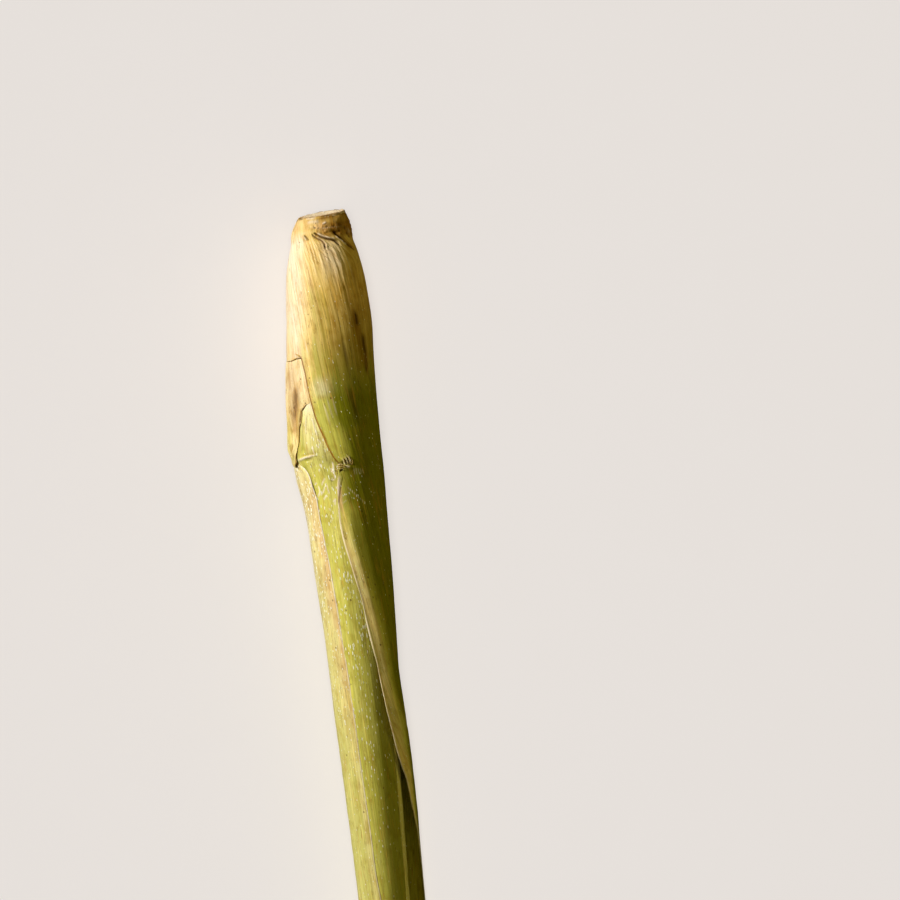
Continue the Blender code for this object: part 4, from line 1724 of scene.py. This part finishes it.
def base_marks() -> tuple[Mark, ...]:
    """Bruises, scorched streaks and pale fibres on the outer leaf's swollen base."""
    return strokes(
        Tone.SHADE,
        (((24.3, 6.3), (28.8, 6.6)), 0.5, 0.95, 0.3),
        (((29.5, 7.6), (35, 7.9), (41, 7.9)), 0.70, 0.9, 0.2),
        (((30, 2.6), (36, 3.3), (42, 3.5)), 0.7, 0.45, 0.4),
        (((40.5, 3), (44, 3.3), (48, 4), (54, 4.9)), 0.9, 0.6, 0.4),
        (((32.8, -9.45), (33.8, -9.3)), 0.12, 0.8, 0.2),
        (((34.4, -8.9), (34.3, -8.3)), 0.16, 0.95, 0.2),
    ) + strokes(
        Tone.BROWN,
        (((20, 5.4), (26, 6.1), (34, 7), (43, 7.8)), 1.9, 0.95, 0.3),
        (((44.8, -5.2), (45.3, -3.4), (45, -1.6)), 0.5, 0.35, 0.3),
        (((12, -4.4), (18, -3.5), (24, -2.4), (32, -1.2)), 0.6, 0.5, 0.3),
        (((10, -4.7), (14, -4.1), (19, -3.6)), 0.22, 0.6, 0.4),
        (((8, -7.3), (14, -7), (22, -6.6)), 0.18, 0.5, 0.4),
        (((6.5, -6.5), (12, -6.1), (17, -5.6)), 0.5, 0.3, 0.4),
        (((12, -9.1), (13.2, -9)), 0.3, 0.6, 0.4),
        (((14, 0.4), (22, 1.6), (31, 2.6)), 0.5, 0.4, 0.3),
        (((16, 4.9), (21, 5.2), (25, 5.6)), 0.35, 0.7, 0.3),
        (((32.2, -9.5), (33.6, -9.35), (34.2, -8.8)), 0.28, 1.0, 0.2),
        (((30.5, -9), (32.8, -8.5), (34, -7.9)), 0.7, 0.45, 0.4),
    ) + strokes(
        Tone.CREAM,
        (((39, -4.4), (43, -3.7), (46.5, -2.8)), 2.4, 0.34, 0.45),
        (((32.3, -9.95), (33.9, -9.85)), 0.15, 1.0, 0.2),
        (((46, -3.5), (49, -2.8), (53, -2)), 0.18, 0.4, 0.3),
        (((45, -2.4), (48, -1.9), (51, -1.2)), 0.15, 0.35, 0.3),
        (((44.5, -1.2), (48, -0.6), (50.5, -0.2)), 0.15, 0.3, 0.3),
        (((28, -7), (32, -6.4), (36, -5.6)), 0.2, 0.5, 0.4),
    ) + strokes(
        Tone.GREEN,
        (((25, -8.6), (31, -7.8), (40, -5.8)), 1.4, 0.5, 0.4),
        (((24, -10.4), (30, -10.7), (34, -10.9)), 1.0, 0.6, 0.4),
    )


def knot_marks() -> tuple[Mark, ...]:
    """The knot's stains, and the scratches beside it and below it.

    Returns:
        The stains first.
    """
    stains = (
        Mark(Tone.CREAM, ((62.6, 0.8), (62.8, 1.7)), 0.22, 0.9, 0.2),
        Mark(Tone.BROWN, ((62, -1.6), (62.3, -0.6), (62.4, 0.6)), 0.5, 0.7, 0.3),
    )
    beside = comb(((62.9, 2.6), (65, 2.7)), ((63.3, 4.68), (65, 4.9)), 5, 0.09, 0.5, 0.3)
    below = comb(((67.5, 0.8), (68.3, 0.88)), ((71.5, 4.48), (72.3, 4.56)), 9, 0.09, 0.5, 0.2)
    return stains + beside + below


def outer_leaf() -> OuterLeaf:
    """The outermost leaf, with its folds at the root end, its dried margin and its cream blade edge."""
    return OuterLeaf(
        name="outer_leaf_sheath",
        node="outer_leaf",
        finish=LeafFinish("outer_leaf"),
        rows=stops(
            (0.1, 0), (12, 68), (32, 28), (38, 22), (57, 44), (74, 68), (142, 56), (172, 24), (280, 20)
        ),
        columns=stops((-1, 0), (0, 20), (0.4, 92), (1, 34)),
        margin=Curve(
            (
                (5, -70), (20, -58), (32.4, -49), (33.8, -47.5), (34.6, -40.2), (37.1, -36.2), (38.9, -34),
                (42.5, -31.2), (46.1, -27.8), (49.3, -24.4), (52, -20.4), (54.8, -15.2), (56.6, -12.4),
                (58.6, -8.5), (60, -5.4), (61.1, -1.8), (62, 1.6), (63.4, 1.2), (64.6, -2), (69, -5.3),
                (75, -7), (80, -5), (85.5, 0.7), (91, 6.7), (96.5, 12.9), (101, 15.2), (108, 21.8),
                (113, 27.5), (119, 30), (129, 31.5), (134, 33), (138, 37), (142, 46), (147, 51),
                (151, 58.5), (157, 73), (172, 86), (220, 92), (280, 95),
            )
        ),
        far_margin=Curve(
            (
                (60, 206), (80, 200), (100, 190), (120, 178), (142, 178), (172, 215), (220, 228),
                (280, 232),
            )
        ),
        radius=Curve(
            (
                (0.1, 5.7), (0.5, 6.05), (1, 6.4), (2, 6.9), (3, 7.33), (4.2, 7.62), (6.2, 7.78), (8, 8.3),
                (10, 8.8), (13, 9.45), (16, 9.9), (20, 10.25), (25, 10.6), (30, 10.85), (40, 10.95),
                (50, 10.95), (60, 10.85), (68, 10.6), (77, 10.4), (92, 10.1), (102, 9.75), (112, 9.35),
                (122, 9), (132, 7.6), (142, 6.27), (152, 5.6), (172, 5.3), (220, 5.4), (280, 5.6),
            )
        ),
        shift_x=Curve(
            (
                (0, -0.45), (5, -0.15), (10, 0), (112, 0), (122, 0.72), (132, 2.6), (142, 4.2), (152, 4.87),
                (172, 4.9), (220, 5.4), (280, 6.2),
            )
        ),
        shift_z=Curve(
            (
                (112, 0), (122, -0.15), (132, -1.1), (142, -2.1), (152, -3.1), (172, -3.4), (280, -3.5),
            )
        ),
        twist=0.16,
        seed=11,
        folds=butt_folds() + base_folds() + knot_folds() + blade_folds(),
        washes=outer_washes(),
        marks=butt_marks() + base_marks() + knot_marks(),
        hems=(
            Hem(Tone.BROWN, Curve(((34.2, 0), (35, 1.0), (60, 1.0), (62, 0.8), (63, 0))), 0.45),
            Hem(Tone.SHADE, Curve(((34.2, 0), (35, 0.45), (58, 0.3), (62, 0.5), (63, 0))), 0.22),
            Hem(
                Tone.CREAM,
                Curve(((66, 0), (72, 0.45), (75, 0.6), (142, 0.55), (160, 0.4), (280, 0.3))),
                0.42,
            ),
        ),
    )


def collar_folds() -> tuple[Fold, ...]:
    """The folds that run down the dry sheath to its pinched end."""
    return (
        Fold(((47, -8.4), (48.2, -9.4), (50, -9.9), (52, -10.4), (54.5, -10.6), (57, -10.9), (59, -11.6)),
             0.06, 0.9, 0.3, 0.2),
        # A groove at the sheath's edge, stained dark as painted shade.
        Fold(((47.4, -8.7), (48.3, -9.2), (49.6, -9.5), (51.2, -9.9)), -0.25, 0.25, 0.2, 0.2, Tone.SHADE,
             0.7),
        Fold(((41.8, -10.2), (44, -10.3), (46, -10.7), (49.6, -11.2), (54, -11.6)), -0.30, 0.5, 0.5, 0.3),
        Fold(((38, -10.9), (41, -11.3), (46, -12), (53, -12.6)), 0.22, 0.5, 0.6, 0.3),
        Fold(((40, -8.6), (43, -8.8), (46.5, -8.9)), -0.12, 0.5, 0.5, 0.3),
        Fold(((55.5, -12.2), (57.5, -12.7), (59.3, -12.7)), -0.28, 0.35, 0.35, 0.3, Tone.BROWN, 0.7),
        Fold(((56.5, -11.9), (58.5, -12.3), (60.3, -12.5)), 0.3, 0.3, 0.3, 0.3),
        Fold(((57.5, -11), (59.8, -11.75), (61.6, -12)), 0.12, 0.35, 0.2, 0.2),
        Fold(((53, -11), (55.5, -11.4), (58, -11.9)), 0.2, 0.25, 0.25, 0.3),
        Fold(((50.5, -11.7), (53.5, -12.2), (56, -12.2)), -0.2, 0.25, 0.25, 0.3, Tone.BROWN, 0.3),
    )


def collar_marks() -> tuple[Mark, ...]:
    """The dry sheath's bruised streak, and the painted shade along its folded edge."""
    return strokes(
        Tone.BROWN,
        (((34.5, -11.2), (38, -11.1), (42, -11), (47, -11.2), (52.5, -11.9)), 2.4, 0.42, 0.3),
        (((36.6, -11.6), (40.5, -11.4), (44, -11.5)), 1.3, 0.8, 0.3),
        (((38, -12.2), (42.5, -12.6)), 0.8, 0.6, 0.3),
        (((36, -10.2), (39, -10.3), (41.5, -10.4)), 0.3, 0.5, 0.3),
        (((40.6, -10), (44, -10.3), (46, -10.6), (49.6, -11.1), (54.5, -11.5)), 1.5, 0.9, 0.15),
        (((46, -12.2), (50, -12.5), (54, -12.6)), 0.3, 0.4, 0.3),
        (((41.8, -8.3), (42, -8.3)), 0.16, 0.8, 0.1),
        (((43.1, -8.25), (43.3, -8.25)), 0.16, 0.7, 0.1),
        (((46.2, -7.2), (46.9, -8.3), (48.6, -9.3), (50.6, -9.8), (53, -10.2), (56.5, -10.6)), 0.35,
         0.75, 0.15),
        (((47.5, -9.9), (50.5, -10.4)), 0.35, 0.5, 0.3),
        (((58.5, -11.2), (60.2, -11.8), (61.6, -12)), 0.28, 0.95, 0.1),
        (((55.5, -12.9), (57.2, -12.9), (58.6, -12.9)), 0.3, 0.6, 0.3),
    ) + strokes(
        Tone.SHADE,
        (((41.6, -10.2), (44.8, -10.4), (47.5, -10.8), (51, -11.2)), 0.9, 0.55, 0.25),
        (((43.3, -9.8), (44.8, -9.85)), 0.2, 0.7, 0.3),
        (((47.2, -8.5), (48, -9)), 0.2, 0.9, 0.2),
        # Painted shade along the folded edge.
        (((50.9, -9.95), (52.3, -10.05), (54.1, -10.15), (56.2, -10.35)), 0.12, 0.5, 0.2),
        (((61, -12.2), (61.6, -11.8)), 0.3, 1.0, 0.2),
    ) + strokes(
        Tone.OLIVE,
        # Painted shade in olive beside the folded edge.
        (((50.6, -9.55), (53, -9.75), (56.5, -10.05)), 0.22, 0.6, 0.2),
    ) + strokes(
        Tone.CREAM,
        (((57.2, -10.9), (59.5, -11.4), (61, -11.6)), 0.2, 0.7, 0.3),
    )


def dry_sheath() -> DrySheath:
    """The dry sheath, cream with a bruised streak, whose right edge folds down to the pinched end."""
    return DrySheath(
        name="dry_sheath_collar",
        node="dry_sheath",
        finish=LeafFinish("dry_sheath", straw=(0.84, 0.66, 0.28), tan=(0.78, 0.50, 0.12), roughness=0.45),
        rows=stops((30, 0), (45.4, 30), (49, 24), (61.6, 66)),
        columns=stops((0, 0), (0.5, 96), (1, 24)),
        margin=Curve(
            (
                (40, 0), (45.8, -22), (46.2, -31), (46.4, -36), (46.8, -40.4), (47.4, -44.4), (48, -47.3),
                (49.3, -48.9), (50, -49.6), (51.3, -53), (52.3, -55.4), (54, -56.4), (56, -58.9),
                (57.5, -62.7), (58.9, -66.4), (60.4, -69.7), (61.6, -74),
            )
        ),
        far_margin=constant(-165.0),
        radius=Curve(((30, 9.85), (40, 10.05), (50, 10.1), (58, 10.0), (61.6, 9.8))),
        twist=0.10,
        margin_share=0.4,
        crinkle=0.05,
        seed=21,
        folds=collar_folds(),
        washes=(
            Wash(Tone.ROSE, Curve(((36, 0.15), (44, 0.3), (48, 0.35), (58, 0.2), (61, 0.5))),
                 Curve(((-80, 0), (-66, 0.8), (-50, 1), (-30, 0.8)))),
            Wash(Tone.CREAM, Curve(((35, 0.4), (40, 0.4), (44, 0.3), (50, 0.12), (61, 0.12))),
                 Curve(((-110, 1.2), (-75, 0.8), (-50, 0.7), (-20, 1)))),
            Wash(Tone.GREEN, Curve(((44, 0), (50, 0.5), (60, 0.62))),
                 Curve(((-100, 0.8), (-75, 0.9), (-50, 0.9)))),
            Wash(Tone.WAX, Curve(((50, 0), (55, 0.4), (60, 0.5))),
                 Curve(((-90, 1), (-60, 0.6), (-40, 0.2)))),
        ),
        marks=collar_marks(),
        hems=(Hem(Tone.CREAM, Curve(((35, 0.8), (45, 0.9), (46.5, 0), (48, 0))), 0.3),),
    )


# The angle of the open sheath's cream lip, which its washes and the roll's rise are measured from.
STRIP_LIP = Curve(
    (
        (62, -50), (72, -42), (92, -30), (119, -20.4), (145, -14), (155, -11), (164, -9.6), (171, -4),
        (220, 6), (280, 14),
    )
)


def strip_marks() -> tuple[Mark, ...]:
    """Stains down the open sheath's dry strip."""
    return strokes(
        Tone.BROWN,
        (((70.5, -9.8), (73, -9.6)), 0.4, 0.5, 0.3),
        (((78.5, -9), (81, -8.6), (83, -8)), 0.45, 0.5, 0.3),
        (((64, -11.9), (68, -11.3), (71, -10.8)), 0.3, 0.5, 0.3),
        (((82, -6.25), (87, -5.75), (92, -5.3)), 0.14, 0.6, 0.3),
    ) + strokes(
        Tone.ROSE,
        (((82, -6.3), (86, -5.9), (91, -5.4)), 0.3, 1.0, 0.3),
    ) + strokes(
        Tone.SHADE,
        (((61.6, -11.6), (62.2, -11.2)), 0.25, 0.9, 0.2),
    )


def open_sheath() -> OpenSheath:
    """The open sheath, with a thin cream lip and a dry pinkish tan strip beside it."""
    return OpenSheath(
        name="open_sheath_strip",
        node="open_sheath",
        finish=LeafFinish("open_sheath", straw=(0.76, 0.66, 0.22), tan=(0.64, 0.46, 0.12)),
        rows=stops((56, 0), (60.5, 6), (76, 66), (142, 56), (172, 26), (280, 20)),
        columns=stops((0, 0), (0.3, 84), (1, 50)),
        margin=Curve(
            (
                (56, -90), (60, -74), (61.25, -67), (62.1, -60), (63.4, -54), (65, -50), (66.8, -47),
                (68.6, -44), (70.2, -42.3), (72, -42), (80, -37), (86, -33), (92, -30), (98, -27.8),
                (104, -26), (112, -22.7), (119, -20.4), (127, -18.1), (137, -16.2), (145, -14), (155, -11),
                (164, -9.6), (171, -4), (220, 6), (280, 14),
            )
        ),
        far_margin=Curve(((60, -330), (120, -305), (142, -300), (280, -296))),
        radius=STALK.roll,
        wall=0.30,
        margin_share=0.4,
        crinkle=0.05,
        twist=0.05,
        seed=41,
        folds=(
            Fold(((61.4, -11.2), (62.3, -10.2), (63.6, -9.5), (65.2, -8.9), (67, -8.3), (69.5, -7.7)), 0.25,
                 0.6, 0.4, 0.15),
            Fold(((63, -10.9), (66, -9.9), (71, -9.1), (78, -8.2)), -0.25, 0.7, 0.6, 0.3),
            Fold(((66, -11.3), (72, -10.4), (82, -9.4), (95, -8.6)), 0.15, 0.4, 0.5, 0.3),
        ),
        washes=(
            Wash(Tone.GREEN, Curve(((60, 0.3), (75, 0.4), (100, 0.5), (130, 0.75), (170, 0.9), (280, 0.9))),
                 Curve(((-340, 1), (-60, 1), (-22, 0.75), (0, 0.3))), STRIP_LIP),
            Wash(Tone.ROSE, Curve(((62, 0.3), (72, 0.6), (90, 0.8), (112, 0.6), (122, 0.2), (135, 0))),
                 Curve(((-28, 0), (-16, 0.6), (-3, 1), (0, 1))), STRIP_LIP),
            Wash(Tone.CREAM, Curve(((61, 0.35), (75, 0.3), (95, 0.2), (160, 0.15))),
                 Curve(((-50, 1), (-20, 0.6), (0, 0.2))), STRIP_LIP),
            Wash(Tone.WAX, Curve(((60, 0.9), (85, 0.75), (118, 0.6), (140, 0.35), (280, 0.3))),
                 Curve(((-95, 1), (-50, 0.9), (0, 0.35)))),
        ),
        marks=strip_marks(),
        hems=(Hem(Tone.CREAM, Curve(((60, 1.0), (78, 1.0), (95, 0.9), (110, 0.7), (280, 0.5))), 0.3),),
    )


def roll_folds() -> tuple[Fold, ...]:
    """The crease across the roll, and the low ridges between it and the dry sheath."""
    return (
        # The cream ridges are partly painted highlight, and the olive strokes are painted shade: in the
        # grooves, beside the dry sheath's edge and beside the open sheath's lip.
        Fold(((60.4, -11.4), (59.9, -10.4), (59.6, -9.4), (59.4, -8.2), (59.2, -7), (59.1, -5.4)), 0.34,
             0.2, 0.2, 0.3, Tone.CREAM, 0.9),
        Fold(((59.2, -10.4), (58.9, -9), (58.8, -7.4), (58.7, -5.9)), -0.16, 0.2, 0.2, 0.25, Tone.BROWN,
             0.6),
        Fold(((60.4, -9.8), (60.2, -8.4), (60, -7.2)), -0.25, 0.3, 0.3, 0.3, Tone.OLIVE, 0.5),
        Fold(((48.7, -6.6), (50.5, -6.4), (52.3, -6.1), (53.8, -5.75), (55.5, -5.2)), 0.2, 0.2, 0.2, 0.3,
             Tone.CREAM, 0.7),
        Fold(((47.5, -7.6), (49.5, -8), (52, -8.4), (55, -8.6)), 0.2, 0.3, 0.3, 0.3, Tone.CREAM, 0.5),
        Fold(((50, -8.9), (53, -9.2), (56, -9.5), (58.5, -10.1)), 0.12, 0.4, 0.3, 0.2, Tone.OLIVE, 0.5),
        Fold(((52, -7), (55, -6.7), (58, -6.6)), -0.12, 0.5, 0.5, 0.3, Tone.OLIVE, 0.25),
        # Painted shadow of the open sheath's lip on the roll, in olive.
        Fold(((61, -10.6), (62.2, -9.6), (63.6, -8.95), (65.2, -8.5), (66.9, -8.1), (69, -7.6)), -0.05, 0.9,
             0.8, 0.2, Tone.OLIVE, 0.6),
    )


def roll_marks() -> tuple[Mark, ...]:
    """Lines of wax round the knot on the roll, and three dark specks.

    Returns:
        The lines first.
    """
    lines = (
        ((64.9, -4.7), (65.7, -5.2), (66.8, -5.8)),
        ((66.9, -4.9), (67.8, -5.2), (68.4, -5.5), (69.2, -6.3)),
        ((65.9, -6.9), (66.5, -7.5)),
        ((66.6, -6.7), (67.6, -6.4), (68.4, -6.4), (69.6, -7)),
        ((66.4, -4.5), (67.7, -4.3), (69, -3.9)),
        ((69.2, -4.8), (70.4, -5.6)),
        ((72, -2.9), (70.4, -2.6), (71.2, -3.4)),
        ((60.9, -2.5), (62.2, -2.4), (63.4, -2.4), (64.6, -2.3), (65.8, -2.2)),
        ((62.8, -3.3), (63.1, -2.6), (63.5, -2.3)),
        ((63.4, -3.2), (63.6, -2.5)),
        ((65.5, -3.3), (65.6, -2.4)),
        ((56.7, -7.2), (58.2, -7), (59, -6.8)),
        ((56.8, -5.9), (57.6, -5.5)),
        ((55.2, -5.7), (56, -5.1), (56.6, -4.9)),
        ((61.3, -5.8), (62.4, -5.4)),
        ((64.1, -7.3), (64.3, -7.1)),
        ((67.4, -2.1), (67.8, -2)),
        ((70.2, -2.6), (70.8, -2.7)),
    )
    specks = ((63.4, -1.95), (64.3, -1.8), (65.7, -3.1))
    return (
        strokes(Tone.CREAM, *((line, 0.15, 0.9, 0.15) for line in lines))
        + strokes(Tone.SHADE, *((((s, x), (s + 0.2, x)), 0.17, 0.95, 0.05) for s, x in specks))
    )


def inner_roll() -> InnerRoll:
    """The roll of inner leaves, light green between the strip and the blade."""
    return InnerRoll(
        name="inner_leaf_roll",
        node="inner_leaves",
        finish=LeafFinish(
            "inner_leaves", straw=(0.76, 0.68, 0.20), tan=(0.58, 0.50, 0.10), tan_share=0.4, fleck=(3.1, 0.65)
        ),
        rows=stops((30, 0), (44, 10), (76, 120), (142, 60), (172, 26), (279.4, 20)),
        columns=stops((0, 0), (0.3, 20), (0.62, 116), (1, 30)),
        margin=constant(-180.0),
        far_margin=constant(180.0),
        radius=Curve(tuple((s, r - 0.34) for s, r in STALK.roll.stations)),
        twist=0.04,
        rib_height=0.035,
        crinkle=0.02,
        seed=51,
        folds=roll_folds(),
        washes=(
            Wash(Tone.GREEN, Curve(((44, 0.1), (52, 0.3), (57, 0.45), (61, 0.65), (70, 0.75), (120, 0.8),
                 (280, 0.85))), Curve(((-180, 0.8), (180, 0.8)))),
            Wash(Tone.CREAM, Curve(((46, 0.7), (50, 0.3), (56, 0.1), (62, 0))),
                 Curve(((-60, 0.6), (-30, 1), (0, 0.6)))),
            Wash(Tone.OLIVE, Curve(((50, 0), (54, 0.16), (58, 0.28), (60, 0.2), (62, 0))),
                 Curve(((-90, 1), (0, 1)))),
            # Painted shade in olive on the roll's right side, away from the key light and under the blade,
            # over its own darker green.
            Wash(Tone.OLIVE, Curve(((60, 0), (80, 0.2), (110, 0.6), (130, 0.75), (280, 0.8))),
                 Curve(((-12, 0), (10, 0.35), (28, 0.9), (60, 1), (120, 1), (180, 0)))),
            Wash(Tone.OLIVE, Curve(((60, 0), (62, 0.4), (64, 0.3), (67, 0))),
                 Curve(((-26, 0), (-18, 1), (10, 1)))),
            Wash(Tone.WAX, Curve(((47, 0.5), (60, 0.75), (90, 0.75), (110, 0.6), (130, 0.6), (150, 0.4),
                 (280, 0.3))), Curve(((-60, 0.3), (-25, 0.8), (0, 1), (40, 0.7), (90, 0.2)))),
        ),
        marks=roll_marks(),
    )


def root_cut() -> CutEnd:
    """The cut across the stem at the root end: pale fibrous rings and a chipped, dried rim."""
    return CutEnd(
        name="stem_root_cut",
        node="stem_base",
        finish=CutFinish("stem_base", flesh=(0.96, 0.78, 0.52), ring=(0.46, 0.25, 0.08)),
        profile=(
            (0.25, 0), (0.2, 3), (0.1, 5.2), (0.1, 5.45), (0.3, 5.6), (0.8, 5.7), (1.4, 6), (5, 6.6)
        ),
        rings=(1.1, 1.9, 2.7, 3.5, 4.2, 4.8, 5.35),
        rim_radius=5.4,
    )


def leaf_cut() -> CutEnd:
    """The cut across the rolled leaves at the far end."""
    return CutEnd(
        name="inner_leaf_cut",
        node="inner_leaves",
        finish=CutFinish(
            "inner_leaves_cut", flesh=(0.86, 0.88, 0.52), ring=(0.52, 0.56, 0.16), rim=(0.40, 0.42, 0.10)
        ),
        profile=((279.6, 0), (279.7, 4.6), (279.6, 5), (279.2, 5.18), (276, 5.2)),
        rings=(0.7, 1.4, 2.1, 2.8, 3.5, 4.2, 4.8),
        rim_radius=5.0,
        outwards=1.0,
        seed=71,
    )


def ligule_fray(host: Sheet) -> Fray:
    """The torn knot of fibres where the outer leaf's sheath turns into its blade.

    Args:
        host: The leaf that the fibres lie on.

    Returns:
        The bunch.
    """
    return Fray(
        name="ligule_fray",
        node="outer_leaf",
        finish=LeafFinish("ligule", straw=(0.86, 0.72, 0.38), brown=(0.30, 0.13, 0.02)),
        host=host,
        brown=0.3,
        shreds=(
            Shred(((62.2, -1.3, 0.0), (61.9, -0.6, 0.5), (62.2, 0.1, 0.6), (62.6, 0.5, 0.2)), 0.28),
            Shred(((62.8, -1.6, 0.0), (62.4, -0.8, 0.45), (62.6, -0.1, 0.5), (63.0, 0.3, 0.2)), 0.25),
            Shred(((63.3, -1.6, -0.1), (63.0, -0.9, 0.4), (63.0, -0.2, 0.5), (62.7, 0.9, 0.5)), 0.25),
            Shred(((61.6, 0.5, 0.0), (60.9, 0.3, 0.4), (60.2, 0.0, 0.3)), 0.2),
            Shred(((62.0, 1.2, 0.0), (61.0, 0.9, 0.5), (60.1, 0.4, 0.3)), 0.22),
            Shred(((62.1, 1.9, 0.0), (61.0, 1.6, 0.5), (59.7, 1.1, 0.3)), 0.22),
            Shred(((62.2, 2.2, 0.0), (61.6, 2.4, 0.4), (60.8, 2.2, 0.3)), 0.2),
            Shred(((62.5, 0.2, 0.2), (62.4, 1.0, 0.5), (62.6, 1.9, 0.3)), 0.3),
            Shred(((64.2, -1.5, -0.2), (63.5, -1.5, 0.3), (62.9, -1.2, 0.4)), 0.2),
        ),
    )


def torn_fray(host: Sheet) -> Fray:
    """The small torn fibres at the notch where the outer leaf's sheath is split.

    Args:
        host: The leaf that the fibres lie on.

    Returns:
        The bunch.
    """
    return Fray(
        name="notch_fray",
        node="outer_leaf",
        finish=LeafFinish("notch", brown=(0.36, 0.16, 0.02)),
        host=host,
        brown=0.6,
        shreds=(
            Shred(((34.5, -8.2, 0.0), (34.1, -8.7, 0.2), (33.8, -9.3, 0.1)), 0.3),
            Shred(((34.8, -9.0, -0.1), (35.1, -9.8, 0.0), (35.3, -10.8, -0.1)), 0.25),
        ),
    )


def main() -> None:
    """Builds the stalk leaf by leaf, and then the studio round it."""
    logging.basicConfig(level=logging.INFO, format="%(message)s")
    leaf = outer_leaf()
    for part in (root_cut(), inner_roll(), leaf_cut(), open_sheath(), dry_sheath(), leaf):
        part.build()
    for fray in (ligule_fray(leaf), torn_fray(leaf)):
        fray.build()
    Studio().build()


if __name__ == "__main__":
    main()
